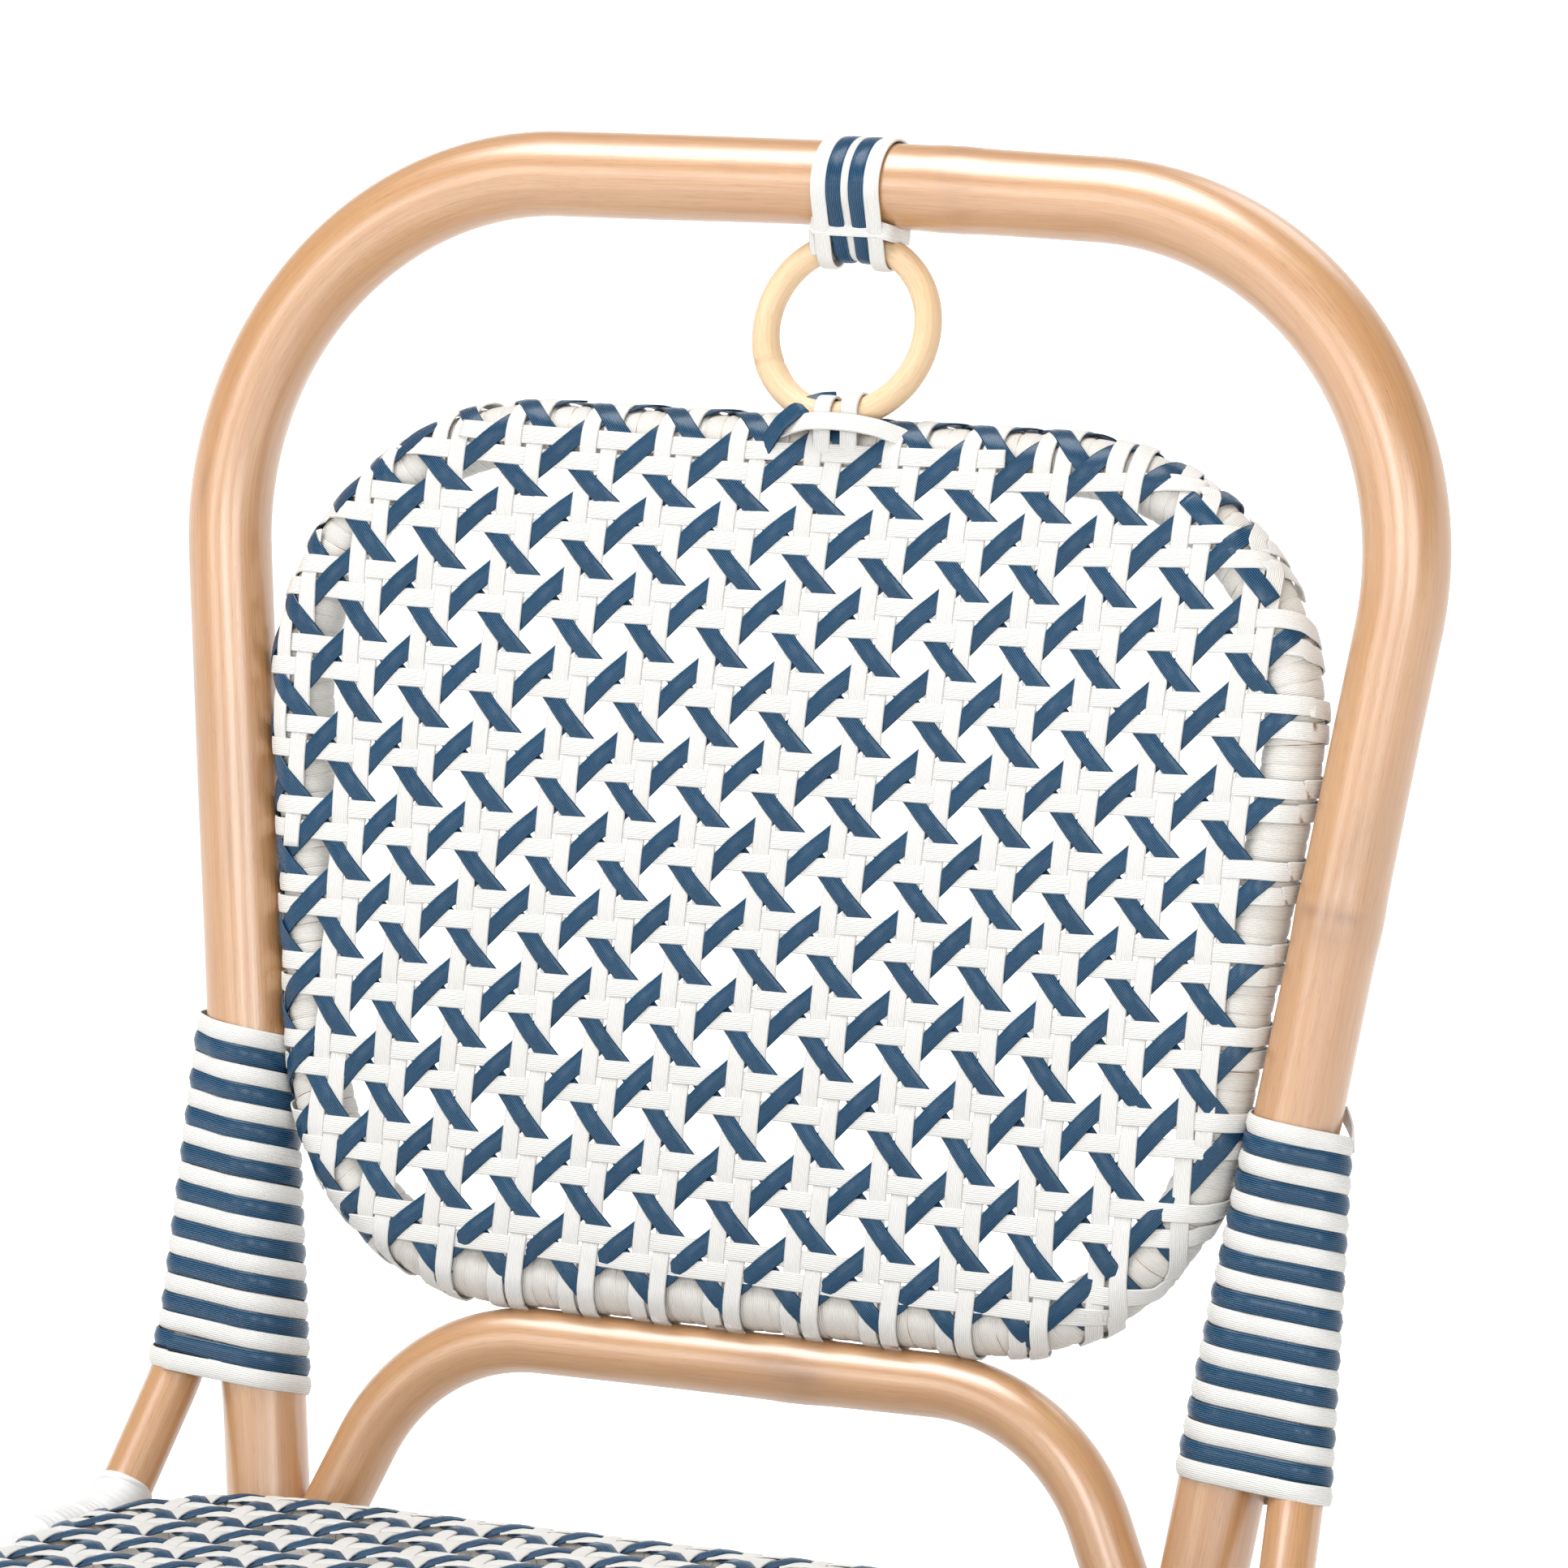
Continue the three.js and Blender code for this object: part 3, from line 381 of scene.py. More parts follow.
class Shade:
    """A shorthand for building a node tree."""

    def __init__(self, tree: bpy.types.NodeTree) -> None:
        """Starts on a tree."""
        self.tree = tree

    def node(self, kind: str, **values: object) -> bpy.types.Node:
        """Adds a node and sets its properties or, by socket name or number, its inputs.

        Args:
            kind: the node's type.
            values: properties, sockets (with _ for a blank) or links from other sockets.

        Returns:
            The node.
        """
        node = self.tree.nodes.new(kind)
        for key, value in values.items():
            name = key.replace("_", " ")
            named = [s for s in node.inputs if s.name.lower() == name and s.enabled]
            if key[0] == "i" and key[1:].isdigit():
                self.feed(node.inputs[int(key[1:])], value)
            elif named:
                self.feed(named[0], value)
            else:
                setattr(node, key, value)
        return node

    def feed(self, socket: bpy.types.NodeSocket, value: object) -> None:
        """Links a socket to another one or sets its value."""
        if isinstance(value, bpy.types.NodeSocket):
            self.tree.links.new(value, socket)
        else:
            socket.default_value = value

    def math(self, operation: str, a: object, b: object = 0.0,
             clamp: bool = False) -> bpy.types.NodeSocket:
        """One sum of two values."""
        return self.node("ShaderNodeMath", operation=operation, use_clamp=clamp, i0=a, i1=b).outputs[0]

    def noise(self, vector: bpy.types.NodeSocket, scale: float, detail: float = 3,
              rough: float = 0.55) -> bpy.types.NodeSocket:
        """Noise's value."""
        return self.node("ShaderNodeTexNoise", vector=vector, scale=scale, detail=detail,
                         roughness=rough).outputs[0]

    def ramp(self, value: bpy.types.NodeSocket, low: object, high: float) -> bpy.types.NodeSocket:
        """The value taken from low..high to 0..1, clamped and eased."""
        return self.node("ShaderNodeMapRange", interpolation_type="SMOOTHSTEP", value=value,
                         from_min=low, from_max=high).outputs[0]

    def mix(self, share: object, a: object, b: object) -> bpy.types.NodeSocket:
        """Two colours mixed by a share."""
        return self.node("ShaderNodeMix", data_type="RGBA", i0=share, i6=a, i7=b).outputs[2]

    def scaled(self, vector: bpy.types.NodeSocket, *size: float) -> bpy.types.NodeSocket:
        """A vector stretched along its axes."""
        return self.node("ShaderNodeMapping", vector_type="POINT", vector=vector, scale=size).outputs[0]

    def group(self, tree: bpy.types.NodeTree, **values: object) -> bpy.types.NodeOutputs:
        """A group's outputs, for the given inputs."""
        return self.node("ShaderNodeGroup", node_tree=tree, **values).outputs

    def kept(self, name: str) -> bpy.types.NodeOutputs:
        """What the mesh keeps at each point under a name."""
        return self.node("ShaderNodeAttribute", attribute_name=name).outputs

    def feed_all(self, sockets: Sequence[bpy.types.NodeSocket], *values: object) -> None:
        """Feeds a value to each socket in turn."""
        for socket, value in zip(sockets, values):
            self.feed(socket, value)

    def part(self, share: float, value: bpy.types.NodeSocket) -> bpy.types.NodeSocket:
        """A share of a value."""
        return self.math("MULTIPLY", value, share)


def new_group(name: str, inputs: dict[str, tuple[str, object]], outputs: dict[str, str]) \
        -> tuple[bpy.types.NodeTree, Shade, bpy.types.Node, bpy.types.Node]:
    """Starts a shader group.

    Args:
        name: the group's name.
        inputs: each input's kind and first value.
        outputs: each output's kind.

    Returns:
        The group, its shorthand, and its input and output nodes.
    """
    group = bpy.data.node_groups.new(name, "ShaderNodeTree")
    for key, (kind, value) in inputs.items():
        socket = group.interface.new_socket(key, in_out="INPUT", socket_type="NodeSocket" + kind)
        if value is not None:
            socket.default_value = value
    for key, kind in outputs.items():
        group.interface.new_socket(key, in_out="OUTPUT", socket_type="NodeSocket" + kind)
    shade = Shade(group)
    return group, shade, shade.node("NodeGroupInput"), shade.node("NodeGroupOutput")


def fibre_group() -> bpy.types.NodeTree:
    """Rattan's grain: fine streaks and longer bands along the pole, and short dark pores."""
    group, s, given, out = new_group(
        "rattan_fibre", {"Lie": ("Vector", None)},
        {"Streaks": "Float", "Bands": "Float", "Pores": "Float", "Height": "Float"})
    lie = given.outputs[0]
    fine = s.noise(s.scaled(lie, 1, 1, 0.022), 1500, 3, 0.6)
    coarse = s.noise(s.scaled(lie, 1, 1, 0.05), 260, 3, 0.6)
    pores = s.ramp(s.noise(s.scaled(lie, 1, 1, 0.09), 2300, 1, 0.4), 0.63, 0.74)
    streaks = s.ramp(fine, 0.36, 0.66)
    bands = s.ramp(coarse, 0.35, 0.68)
    height = s.math("SUBTRACT", s.part(0.5, streaks), pores)
    s.feed_all(out.inputs, streaks, bands, pores, height)
    return group


def strand_group() -> bpy.types.NodeTree:
    """A flat strand's moulded ribs, from its place across, with faint wear along it."""
    group, s, given, out = new_group(
        "strand_ribs", {"Lie": ("Vector", None), "Ribs": ("Float", 8.0), "Crest": ("Float", -0.9)},
        {"Ribs": "Float", "Wear": "Float", "Tint": "Float"})
    lie = given.outputs[0]
    parts = s.node("ShaderNodeSeparateXYZ", vector=lie)
    wobble = s.part(0.00004, s.noise(s.scaled(lie, 0, 1, 0.3), 120, 1))
    place = s.math("MULTIPLY", s.math("ADD", parts.outputs[0], wobble), given.outputs[1])
    wave = s.math("COSINE", s.part(2 * math.pi, place))
    ribs = s.ramp(wave, given.outputs[2], 0.95)
    wear = s.noise(s.scaled(lie, 1, 1, 0.12), 900, 3, 0.6)
    tint = s.noise(s.scaled(lie, 0, 1, 0.06), 160, 2, 0.5)
    s.feed_all(out.inputs, ribs, wear, tint)
    return group


def winding_group() -> bpy.types.NodeTree:
    """A wound strand's own place across and along, from the place on its pole.

    The place across is the part after the point of (s / pitch - angle / 2 pi), times the pitch.
    The crack mask is a thin line between turns, open here and there.
    """
    group, s, given, out = new_group(
        "strand_winding", {"Lie": ("Vector", None), "Pitch": ("Float", 0.006)},
        {"Lie": "Vector", "Crack": "Float"})
    parts = s.node("ShaderNodeSeparateXYZ", vector=given.outputs[0])
    angle = s.math("DIVIDE", s.math("ARCTAN2", parts.outputs[1], parts.outputs[0]), 2 * math.pi)
    place = s.math("SUBTRACT", s.math("DIVIDE", parts.outputs[2], given.outputs[1]), angle)
    within = s.math("FRACT", place)
    turn = s.math("FLOOR", place)
    across = s.math("MULTIPLY", within, given.outputs[1])
    fresh = s.node("ShaderNodeCombineXYZ", x=across, y=s.part(0.009, turn),
                   z=s.part(0.06, angle)).outputs[0]
    edge = s.math("ABSOLUTE", s.math("SUBTRACT", within, 0.5))
    whole = s.math("ADD", place, 0.5)
    spot = s.node("ShaderNodeCombineXYZ", x=s.part(0.37, s.math("FLOOR", whole)),
                  y=s.part(1.2, angle)).outputs[0]
    open_here = s.ramp(s.noise(spot, 2.3, 2, 0.5), 0.5, 0.62)
    line = s.ramp(edge, 0.47, 0.49)
    s.feed_all(out.inputs, fresh, s.math("MULTIPLY", line, open_here))
    return group


def fleck_group() -> bpy.types.NodeTree:
    """Slow changes of tone and small flecks over the whole chair."""
    group, s, given, out = new_group(
        "handled_flecks", {"Place": ("Vector", None)}, {"Cloud": "Float", "Fleck": "Float"})
    place = given.outputs[0]
    s.feed_all(out.inputs, s.ramp(s.noise(place, 9, 4, 0.6), 0.3, 0.7),
               s.ramp(s.noise(place, 420, 2, 0.5), 0.68, 0.78))
    return group


class Groups:
    """The shader groups, each built once."""

    def __init__(self) -> None:
        """Builds them."""
        self.fibre = fibre_group()
        self.ribs = strand_group()
        self.flecks = fleck_group()
        self.winding = winding_group()


def linear(code: int) -> tuple[float, float, float, float]:
    """A colour given as six hexadecimal digits, in linear light."""
    parts = [(code >> shift & 255) / 255 for shift in (16, 8, 0)]
    return (*[p / 12.92 if p <= 0.04045 else ((p + 0.055) / 1.055) ** 2.4 for p in parts], 1.0)


def started(name: str) -> tuple[bpy.types.Material, Shade, bpy.types.Node]:
    """A new material, its short hand and its Principled node."""
    material = bpy.data.materials.new(name)
    material.use_nodes = True
    shader = next(n for n in material.node_tree.nodes if n.type == "BSDF_PRINCIPLED")
    return material, Shade(material.node_tree), shader


class Look(NamedTuple):
    """A finish as a material, with the record's slot that it is."""

    material: bpy.types.Material
    slot: str


def set_values(shader: bpy.types.Node, **values: object) -> None:
    """Sets constants on the shader's own sockets, named with _ for a blank."""
    for key, value in values.items():
        shader.inputs[key.replace("_", " ")].default_value = value


@dataclass(frozen=True)
class RattanFinish:
    """Rattan pole: honey ground, darker fibre streaks, pores, marks where tone says, lacquer."""

    name: str
    slot: str
    ground: int
    streak: int
    dark: int
    rough: float
    lacquer: float
    relief: float = 0.00018
    streak_share: float = 0.55
    band_share: float = 0.5
    cloud_share: float = 0.3
    pore_share: float = 0.14
    lacquer_rough: float = 0.32
    lacquer_ior: float = 2.1

    def make(self, groups: Groups) -> Look:
        """The finish as a material, built from the shader groups."""
        material, s, shader = started(self.name)
        tone = s.kept("tone")["Fac"]
        fibre = s.group(groups.fibre, lie=s.kept("lie")["Vector"])
        flecks = s.group(groups.flecks, place=s.node("ShaderNodeTexCoord").outputs["Object"])
        colour = linear(self.ground)
        for share, over in ((s.part(self.streak_share, fibre["Streaks"]), self.streak),
                            (s.part(self.band_share, fibre["Bands"]), self.streak),
                            (s.part(self.cloud_share, flecks["Cloud"]), self.ground),
                            (s.part(self.pore_share, fibre["Pores"]), self.dark),
                            (s.math("MULTIPLY", tone, 1.0, True), self.dark)):
            colour = s.mix(share, colour, linear(over))
        s.feed(shader.inputs["Base Color"], colour)
        s.feed(shader.inputs["Roughness"], s.math("ADD", self.rough, s.part(0.12, fibre["Streaks"])))
        set_values(shader, Coat_Weight=self.lacquer, Coat_Roughness=self.lacquer_rough,
                   Coat_IOR=self.lacquer_ior, Specular_IOR_Level=0.5)
        height = s.math("SUBTRACT", fibre["Height"], s.part(1.5, tone))
        bump = s.node("ShaderNodeBump", strength=0.6, distance=self.relief, height=height)
        s.feed(shader.inputs["Normal"], bump.outputs[0])
        return Look(material, self.slot)


@dataclass(frozen=True)
class StrandFinish:
    """Flat moulded strand: one colour, with a painted highlight along its ribs and painted shade in the
    grooves between them, satin.

    With a pitch, the strand is wound on a pole, and its place across comes from the winding; thin
    gaps between its turns then show the pole under it.
    """

    name: str
    slot: str
    ground: int
    # The colour mixed in along the ribs is a painted highlight, over the ground's painted shade in the
    # grooves.
    rib: int
    shade: int
    rough: float
    ribs_per_mm: float = 1.6
    relief: float = 0.00018
    crest: float = -0.9
    shine: float = 0.5
    pitch: float = 0.0
    gap: int = 0x9A6A3E
    rib_share: float = 0.8
    tint_share: float = 0.3
    tone_share: float = 0.5
    fleck_share: float = 0.15

    def make(self, groups: Groups) -> Look:
        """The finish as a material, built from the shader groups."""
        material, s, shader = started(self.name)
        lie = s.kept("lie")["Vector"]
        if self.pitch:
            wound = s.group(groups.winding, lie=lie, pitch=self.pitch * MM)
            lie = wound["Lie"]
        ribs = s.group(groups.ribs, lie=lie, ribs=self.ribs_per_mm / MM, crest=self.crest)
        flecks = s.group(groups.flecks, place=s.node("ShaderNodeTexCoord").outputs["Object"])
        # Painted light: the rib colour is a painted highlight along each rib, and the darker ground shows
        # as painted shade in the grooves between ribs.
        colour = s.mix(s.part(self.rib_share, ribs["Ribs"]), linear(self.ground), linear(self.rib))
        for share, value in ((self.tint_share, ribs["Tint"]), (self.tone_share, s.kept("tone")["Fac"]),
                             (self.fleck_share, flecks["Fleck"])):
            colour = s.mix(s.part(share, value), colour, linear(self.shade))
        if self.pitch:
            colour = s.mix(wound["Crack"], colour, linear(self.gap))
        s.feed(shader.inputs["Base Color"], colour)
        s.feed(shader.inputs["Roughness"], s.math("ADD", self.rough - 0.06, s.part(0.16, ribs["Wear"])))
        set_values(shader, Specular_IOR_Level=self.shine)
        height = s.math("ADD", ribs["Ribs"], s.part(0.3, ribs["Wear"]))
        bump = s.node("ShaderNodeBump", strength=0.7, distance=self.relief, height=height)
        s.feed(shader.inputs["Normal"], bump.outputs[0])
        return Look(material, self.slot)


class Finishes:
    """Every material of the chair."""

    def __init__(self) -> None:
        """Builds them from their groups."""
        groups = Groups()
        self.rattan = RattanFinish(
            "lacquered_rattan_look", "lacquered_rattan", ground=0xBB8B57,
            streak=0xA9713E, dark=0x72461F, rough=0.45, lacquer=1.0).make(groups)
        self.pale = RattanFinish(
            "pale_rattan_look", "pale_rattan", ground=0xDABF9B,
            streak=0xCDAB82, dark=0xA07C54, rough=0.5, lacquer=0.1).make(groups)
        # Each strand look paints light into its colour: the rib colour is a painted highlight along the
        # ribs, and the darker ground is painted shade in the grooves between them.
        self.white = StrandFinish(
            "white_strand_look", "white_strand", ground=0xD0CFCB,
            rib=0xE8E7E5, shade=0xC4C1BA, rough=0.4).make(groups)
        self.wound = StrandFinish(
            "wound_strand_look", "white_strand", ground=0xCBC8C2,
            rib=0xE4E2DE, shade=0xB9B3A9, rough=0.42, pitch=WOUND_PITCH).make(groups)
        self.tape = StrandFinish(
            "tape_look", "white_strand", ground=0xD9D9D8,
            rib=0xDFDFDE, shade=0xC9C9C9, rough=0.5, ribs_per_mm=0.35).make(groups)
        self.blue = StrandFinish(
            "blue_strand_look", "blue_strand", ground=0x082B45,
            rib=0x3A7AA6, shade=0x061E32, rough=0.26, relief=0.0003, crest=0.15, shine=0.4).make(groups)
        self.wire = StrandFinish(
            "staple_wire_look", "white_strand", ground=0x9C9A96,
            rib=0xB8B6B2, shade=0x7A7874, rough=0.35).make(groups)
        self.nylon = RattanFinish(
            "glide_nylon_look", "glide_nylon", ground=0xC9B08A,
            streak=0xC0A680, dark=0x9A8460, rough=0.55, lacquer=0.0).make(groups)

    def strand(self, blue: bool) -> Look:
        """The blue or the white strand's look."""
        return self.blue if blue else self.white


# The chair's poles


class MarkKind(Enum):
    """What a mark on a pole is, with its length over its size."""

    KNOT = 1.3
    PATCH = 3.2
    CRACK = 9.0


@dataclass(frozen=True)
class Mark:
    """A mark on a pole: where it is on the back, how big, and how dark."""

    kind: MarkKind
    across: float
    rise: float
    reach: float
    size: float
    depth: float


@dataclass
class Pole:
    """A round pole with its grain, its slight waver and its marks."""

    route: Array
    radius: float
    reference: Array
    closed: bool = False
    sides: int = 40
    marks: tuple[Mark, ...] = ()
    nodes: tuple[float, ...] = ()
    seed: int = 1
    waver: float = 0.12
    wavelengths: tuple[float, float, float] = (310.0, 170.0, 97.0)
    swelling: float = 0.42
    groove: float = 0.22
    foot: float | None = None

    def skin(self) -> tuple[Array, Array, Array]:
        """The pole's surface: a tube whose radius swells at nodes and wavers a little.

        With s the distance along from a node, which leans with the place round the pole, each node
        adds a swelling exp(-(s / 8)^2) with a groove exp(-(s / 0.9)^2) in it, a broken dark ring
        exp(-(s / 0.8)^2) and a shade exp(-((s - 4) / 6)^2) beside that.

        Returns:
            The grid, its lie and its tone.
        """
        rng = np.random.default_rng(self.seed)
        sleeve = Sleeve(self.route, self.reference, self.closed)
        along = stretch_of(self.route)[:, None]
        length = along[-1, 0]
        turn = np.linspace(0, 2 * math.pi, self.sides, endpoint=False)[None]
        phase = rng.uniform(0, 2 * math.pi, 4)
        waves = np.round(length / np.array(self.wavelengths)) * 2 * math.pi / length
        radius = self.radius * np.ones((len(self.route), self.sides))
        radius = radius + self.waver * (
            np.sin(along * waves[0] + phase[0]) + 0.7 * np.sin(along * waves[1] + phase[1] + turn)
            + 0.4 * np.sin(along * waves[2] + phase[2] + 2 * turn)) - self.waver
        tone = np.zeros_like(radius)
        for share in self.nodes:
            lean = 1.4 * np.sin(turn + 9 * share) + 0.5 * np.sin(3 * turn + 5 * share)
            off = along - share * length + lean
            radius = radius + self.swelling * np.exp(-(off / 8) ** 2)
            radius = radius - self.groove * np.exp(-(off / 0.9) ** 2)
            broken = 0.45 + 0.4 * np.sin(2 * turn + 31 * share) + 0.3 * np.sin(5 * turn + 17 * share)
            tone = tone + 0.5 * np.exp(-(off / 0.8) ** 2) * np.clip(broken, 0.1, 1)
            tone = tone + 0.13 * np.exp(-((off - 4) / 6) ** 2)
        grid, lie = sleeve.skin(radius, self.sides)
        for mark in self.marks:
            gap = grid - on_back(mark.across, mark.rise, mark.reach)
            run = sleeve.run[:, None]
            lengthwise = np.sum(gap * run, -1)
            sideways = np.linalg.norm(gap - lengthwise[..., None] * run, axis=-1)
            spread = (lengthwise / (mark.size * mark.kind.value)) ** 2 + (sideways / mark.size) ** 2
            tone = tone + mark.depth * np.exp(-spread)
        if self.foot is not None:
            grid[..., 2] = np.maximum(grid[..., 2], self.foot)
        return grid, lie, np.clip(tone, 0, 1)


KNOT, PATCH, CRACK = MarkKind
HOOP_MARKS = (
    Mark(KNOT, -150, 381, 11, 3.2, 0.75), Mark(CRACK, -206, 312, 12, 0.9, 0.6),
    Mark(PATCH, -208, 236, 10, 9.0, 0.3), Mark(KNOT, -30, 424, 11, 1.6, 0.5),
    Mark(CRACK, -62, 409, 12, 0.8, 0.5), Mark(PATCH, 206, 232, 11, 7.0, 0.22),
    Mark(CRACK, 208, 262, 12, 0.7, 0.5), Mark(PATCH, -176, 235, 6, 3.6, 0.6),
    Mark(CRACK, -179, 236, 12, 1.4, 0.4), Mark(PATCH, -183, 220, 13, 9.0, 0.2),
    Mark(CRACK, -186, 196, 13, 0.9, 0.35), Mark(CRACK, -177, 174, 13, 0.9, 0.3),
    Mark(CRACK, 197, 228, 13, 0.9, 0.4), Mark(CRACK, 204, 243, 13, 0.9, 0.35),
    Mark(PATCH, 191, 205, 12, 7.0, 0.24))
ARCH_MARKS = (
    Mark(PATCH, 26, 50, 9, 3.4, 0.45), Mark(CRACK, -70, 56, 8, 0.9, 0.4),
    Mark(CRACK, 4, 57, 11, 1.1, 0.75), Mark(CRACK, 14, 53, 11, 0.9, 0.7),
    Mark(CRACK, 20, 57, 11, 0.8, 0.6), Mark(PATCH, 11, 56, 11, 5.0, 0.28))


def mirrored(half: list[Corner], *middle: Corner) -> list[Corner]:
    """The corners of one side, those in the middle, and the other side's, which mirror the first."""
    return [*half, *middle, *((spot * [-1, 1, 1], bend) for spot, bend in half[::-1])]


def leg_of(route: Array, way: int) -> Array:
    """The rising part of a hoop or arch, from its foot, on the side of the given sign."""
    leg = route[: len(route) // 2] if way < 0 else route[len(route) // 2:][::-1]
    return leg[: int(np.argmax(leg[:, 2])) + 1]


@dataclass
class Poles:
    """The bent poles: back hoop, front leg hoop, inner arch, arches, stretchers, side braces."""

    finishes: Finishes
    arch_rise: float = 51.3
    arch_half: float = 109.5
    arch_bend: float = 64.0
    arch_drop: float = 28.0
    arch_lean: float = math.radians(24.5)
    arch_radius: float = 10.2
    small_radius: float = 8.0
    brace_radius: float = 8.5
    brace_top: tuple[float, float] = (137.0, 8.6)
    brace_knee: tuple[float, float, float] = (37.0, 25.5, 3.5)
    brace_turn: tuple[float, float] = (199.5, -34.0)
    brace_end: float = -70.0
    brace_bends: tuple[float, float] = (70.0, 30.0)
    foot_height: float = 262.0
    stretcher_height: float = 152.0
    front_foot: tuple[float, float] = (194.0, 20.0)
    front_half: float = 181.0
    front_bend: float = 62.0
    under_bend: float = 70.0
    under_front_half: float = 118.0
    under_rear_half: float = 98.0
    under_side_ends: tuple[float, float] = (92.0, 326.0)
    plug_top: float = 6.3
    routes: dict[str, Array] = field(default_factory=dict)

    def hoop_route(self) -> Array:
        """The back hoop: foot, knee and shoulder on each side, and the crown between."""
        p = PLAN
        half = [(np.array([-p.rear_foot_half, p.rear_foot_setback, 0.0]), 0),
                (on_back(-p.post_spacing(-p.knee_drop), -p.knee_drop), p.knee_bend),
                (on_back(-p.post_spacing(p.hoop_rise), p.hoop_rise), p.shoulder)]
        crown = on_back(0, p.hoop_rise + p.hoop_crown), p.crown_bend
        return bent_route(mirrored(half, crown))

    def front_route(self) -> Array:
        """The front leg hoop, flat across under the seat's front."""
        level = PLAN.seat_level - PLAN.seat_pole - TOUCH_GAP - PLAN.hoop_radius
        bar = PLAN.seat_front_edge + PLAN.seat_pole
        across, setout = self.front_foot
        return bent_route(mirrored([(np.array([-across, bar - setout, 0.0]), 0),
                                    (np.array([-self.front_half, bar, level]), self.front_bend)]))

    def arch_route(self) -> Array:
        """The inner arch, whose legs lean out to the posts."""
        foot = self.arch_half + (self.arch_rise + self.arch_drop) * math.tan(self.arch_lean)
        return bent_route(mirrored([(on_back(-foot, -self.arch_drop), 0),
                                    (on_back(-self.arch_half, self.arch_rise), self.arch_bend)]))

    def brace_route(self, side: Side) -> Array:
        """A side brace: against its post, then forward and down to the seat's side."""
        way, level, end_radius = side.value, PLAN.seat_level, self.brace_radius + TOUCH_GAP + 1
        half = PLAN.seat_half(self.brace_end) + PLAN.seat_pole + TOUCH_GAP + end_radius
        (top, top_out), (knee, knee_out, knee_reach) = self.brace_top, self.brace_knee
        (turn_half, turn_place), (knee_bend, turn_bend) = self.brace_turn, self.brace_bends
        return bent_route([
            (on_back(way * (PLAN.post_spacing(top) + top_out), top), 0),
            (on_back(way * (PLAN.post_spacing(knee) + knee_out), knee, knee_reach), knee_bend),
            (np.array([way * turn_half, turn_place, level]), turn_bend),
            (np.array([way * half, self.brace_end, level]), 0)], step=2)

    def leg_at(self, name: str, way: int, height: float) -> Array:
        """Where a hoop's leg is at a height, on the side of the given sign."""
        leg = leg_of(self.routes[name], way)
        return looked_up(height, leg[:, 2], leg)

    def under_routes(self) -> dict[str, Array]:
        """The arches under the seat and the stretchers near the floor."""
        bar = PLAN.seat_front_edge + PLAN.seat_pole
        level = PLAN.seat_level - PLAN.seat_pole - TOUCH_GAP - self.small_radius
        front_level = level - 2 * PLAN.hoop_radius - TOUCH_GAP
        rear = PLAN.seat_rear_edge - PLAN.seat_pole
        found = {}
        for name, hoop, half, edge, height in (
                ("front_arch_brace", "front_leg_hoop", self.under_front_half, bar, front_level),
                ("rear_arch_brace", "back_hoop", self.under_rear_half, rear, level)):
            left, right = (self.leg_at(hoop, way, self.foot_height) for way in (-1, 1))
            found[name] = bent_route([
                (left, 0), (np.array([-half, edge, height]), self.under_bend),
                (np.array([half, edge, height]), self.under_bend), (right, 0)])
        for side in Side:
            back, front = (self.leg_at(hoop, side.value, self.foot_height)
                           for hoop in ("back_hoop", "front_leg_hoop"))
            places = [PLAN.seat_rear_edge - end for end in self.under_side_ends]
            found[f"{side.word}_arch_brace"] = bent_route([
                (back, 0), *((np.array([side.value * PLAN.seat_half(y), y, level]), self.under_bend)
                             for y in places), (front, 0)])
            found[f"{side.word}_stretcher"] = even(np.stack([
                self.leg_at(hoop, side.value, self.stretcher_height)
                for hoop in ("back_hoop", "front_leg_hoop")]), 4)
        middle = [found[f"{side.word}_stretcher"] for side in Side]
        found["cross_stretcher"] = even(np.stack([(m[0] + m[-1]) / 2 for m in middle]), 4)
        return found

    def build(self) -> None:
        """Builds and dresses every pole."""
        self.routes = {"back_hoop": self.hoop_route(), "front_leg_hoop": self.front_route(),
                       "inner_arch": self.arch_route()}
        self.routes.update(self.under_routes())
        for side in Side:
            self.routes[f"{side.word}_side_brace"] = self.brace_route(side)
        seen = [self.share("back_hoop", *spot) for spot in ((-203, 30), (42, 419), (189.5, 206))]
        self.pole("back_hoop", PLAN.hoop_radius, BACK_FRONT, marks=HOOP_MARKS, foot=self.plug_top,
                  seed=3, nodes=(0.09, *seen, 0.93))
        self.pole("front_leg_hoop", PLAN.hoop_radius, DEPTHWISE, foot=self.plug_top, seed=4,
                  nodes=(0.16, 0.43, 0.81))
        self.pole("inner_arch", self.arch_radius, BACK_FRONT, marks=ARCH_MARKS, seed=5,
                  nodes=(self.share("inner_arch", 21, 51),))
        for seed, name in enumerate(("front_arch_brace", "rear_arch_brace"), 6):
            self.thin(name, DEPTHWISE, seed, 0.31, 0.72)
        self.thin("cross_stretcher", UPRIGHT, 8, 0.4)
        for seed, side in enumerate(Side, 9):
            self.thin(f"{side.word}_arch_brace", ACROSS, seed, 0.22, 0.66)
            self.thin(f"{side.word}_stretcher", UPRIGHT, seed, 0.57)
            self.pole(f"{side.word}_side_brace", self.brace_radius, ACROSS, seed=seed + 4, nodes=(),
                      sides=32)

    def share(self, name: str, across: float, rise: float) -> float:
        """How far along a route a place on the back is, as a share of its length."""
        route = self.routes[name]
        away = np.linalg.norm(route - on_back(across, rise), axis=1)
        return float(np.argmin(away)) / (len(route) - 1)

    def thin(self, name: str, reference: Array, seed: int, *nodes: float) -> None:
        """One of the thin poles under the seat, with its nodes as shares of its length."""
        self.pole(name, self.small_radius, reference, seed=seed, nodes=nodes, sides=28)

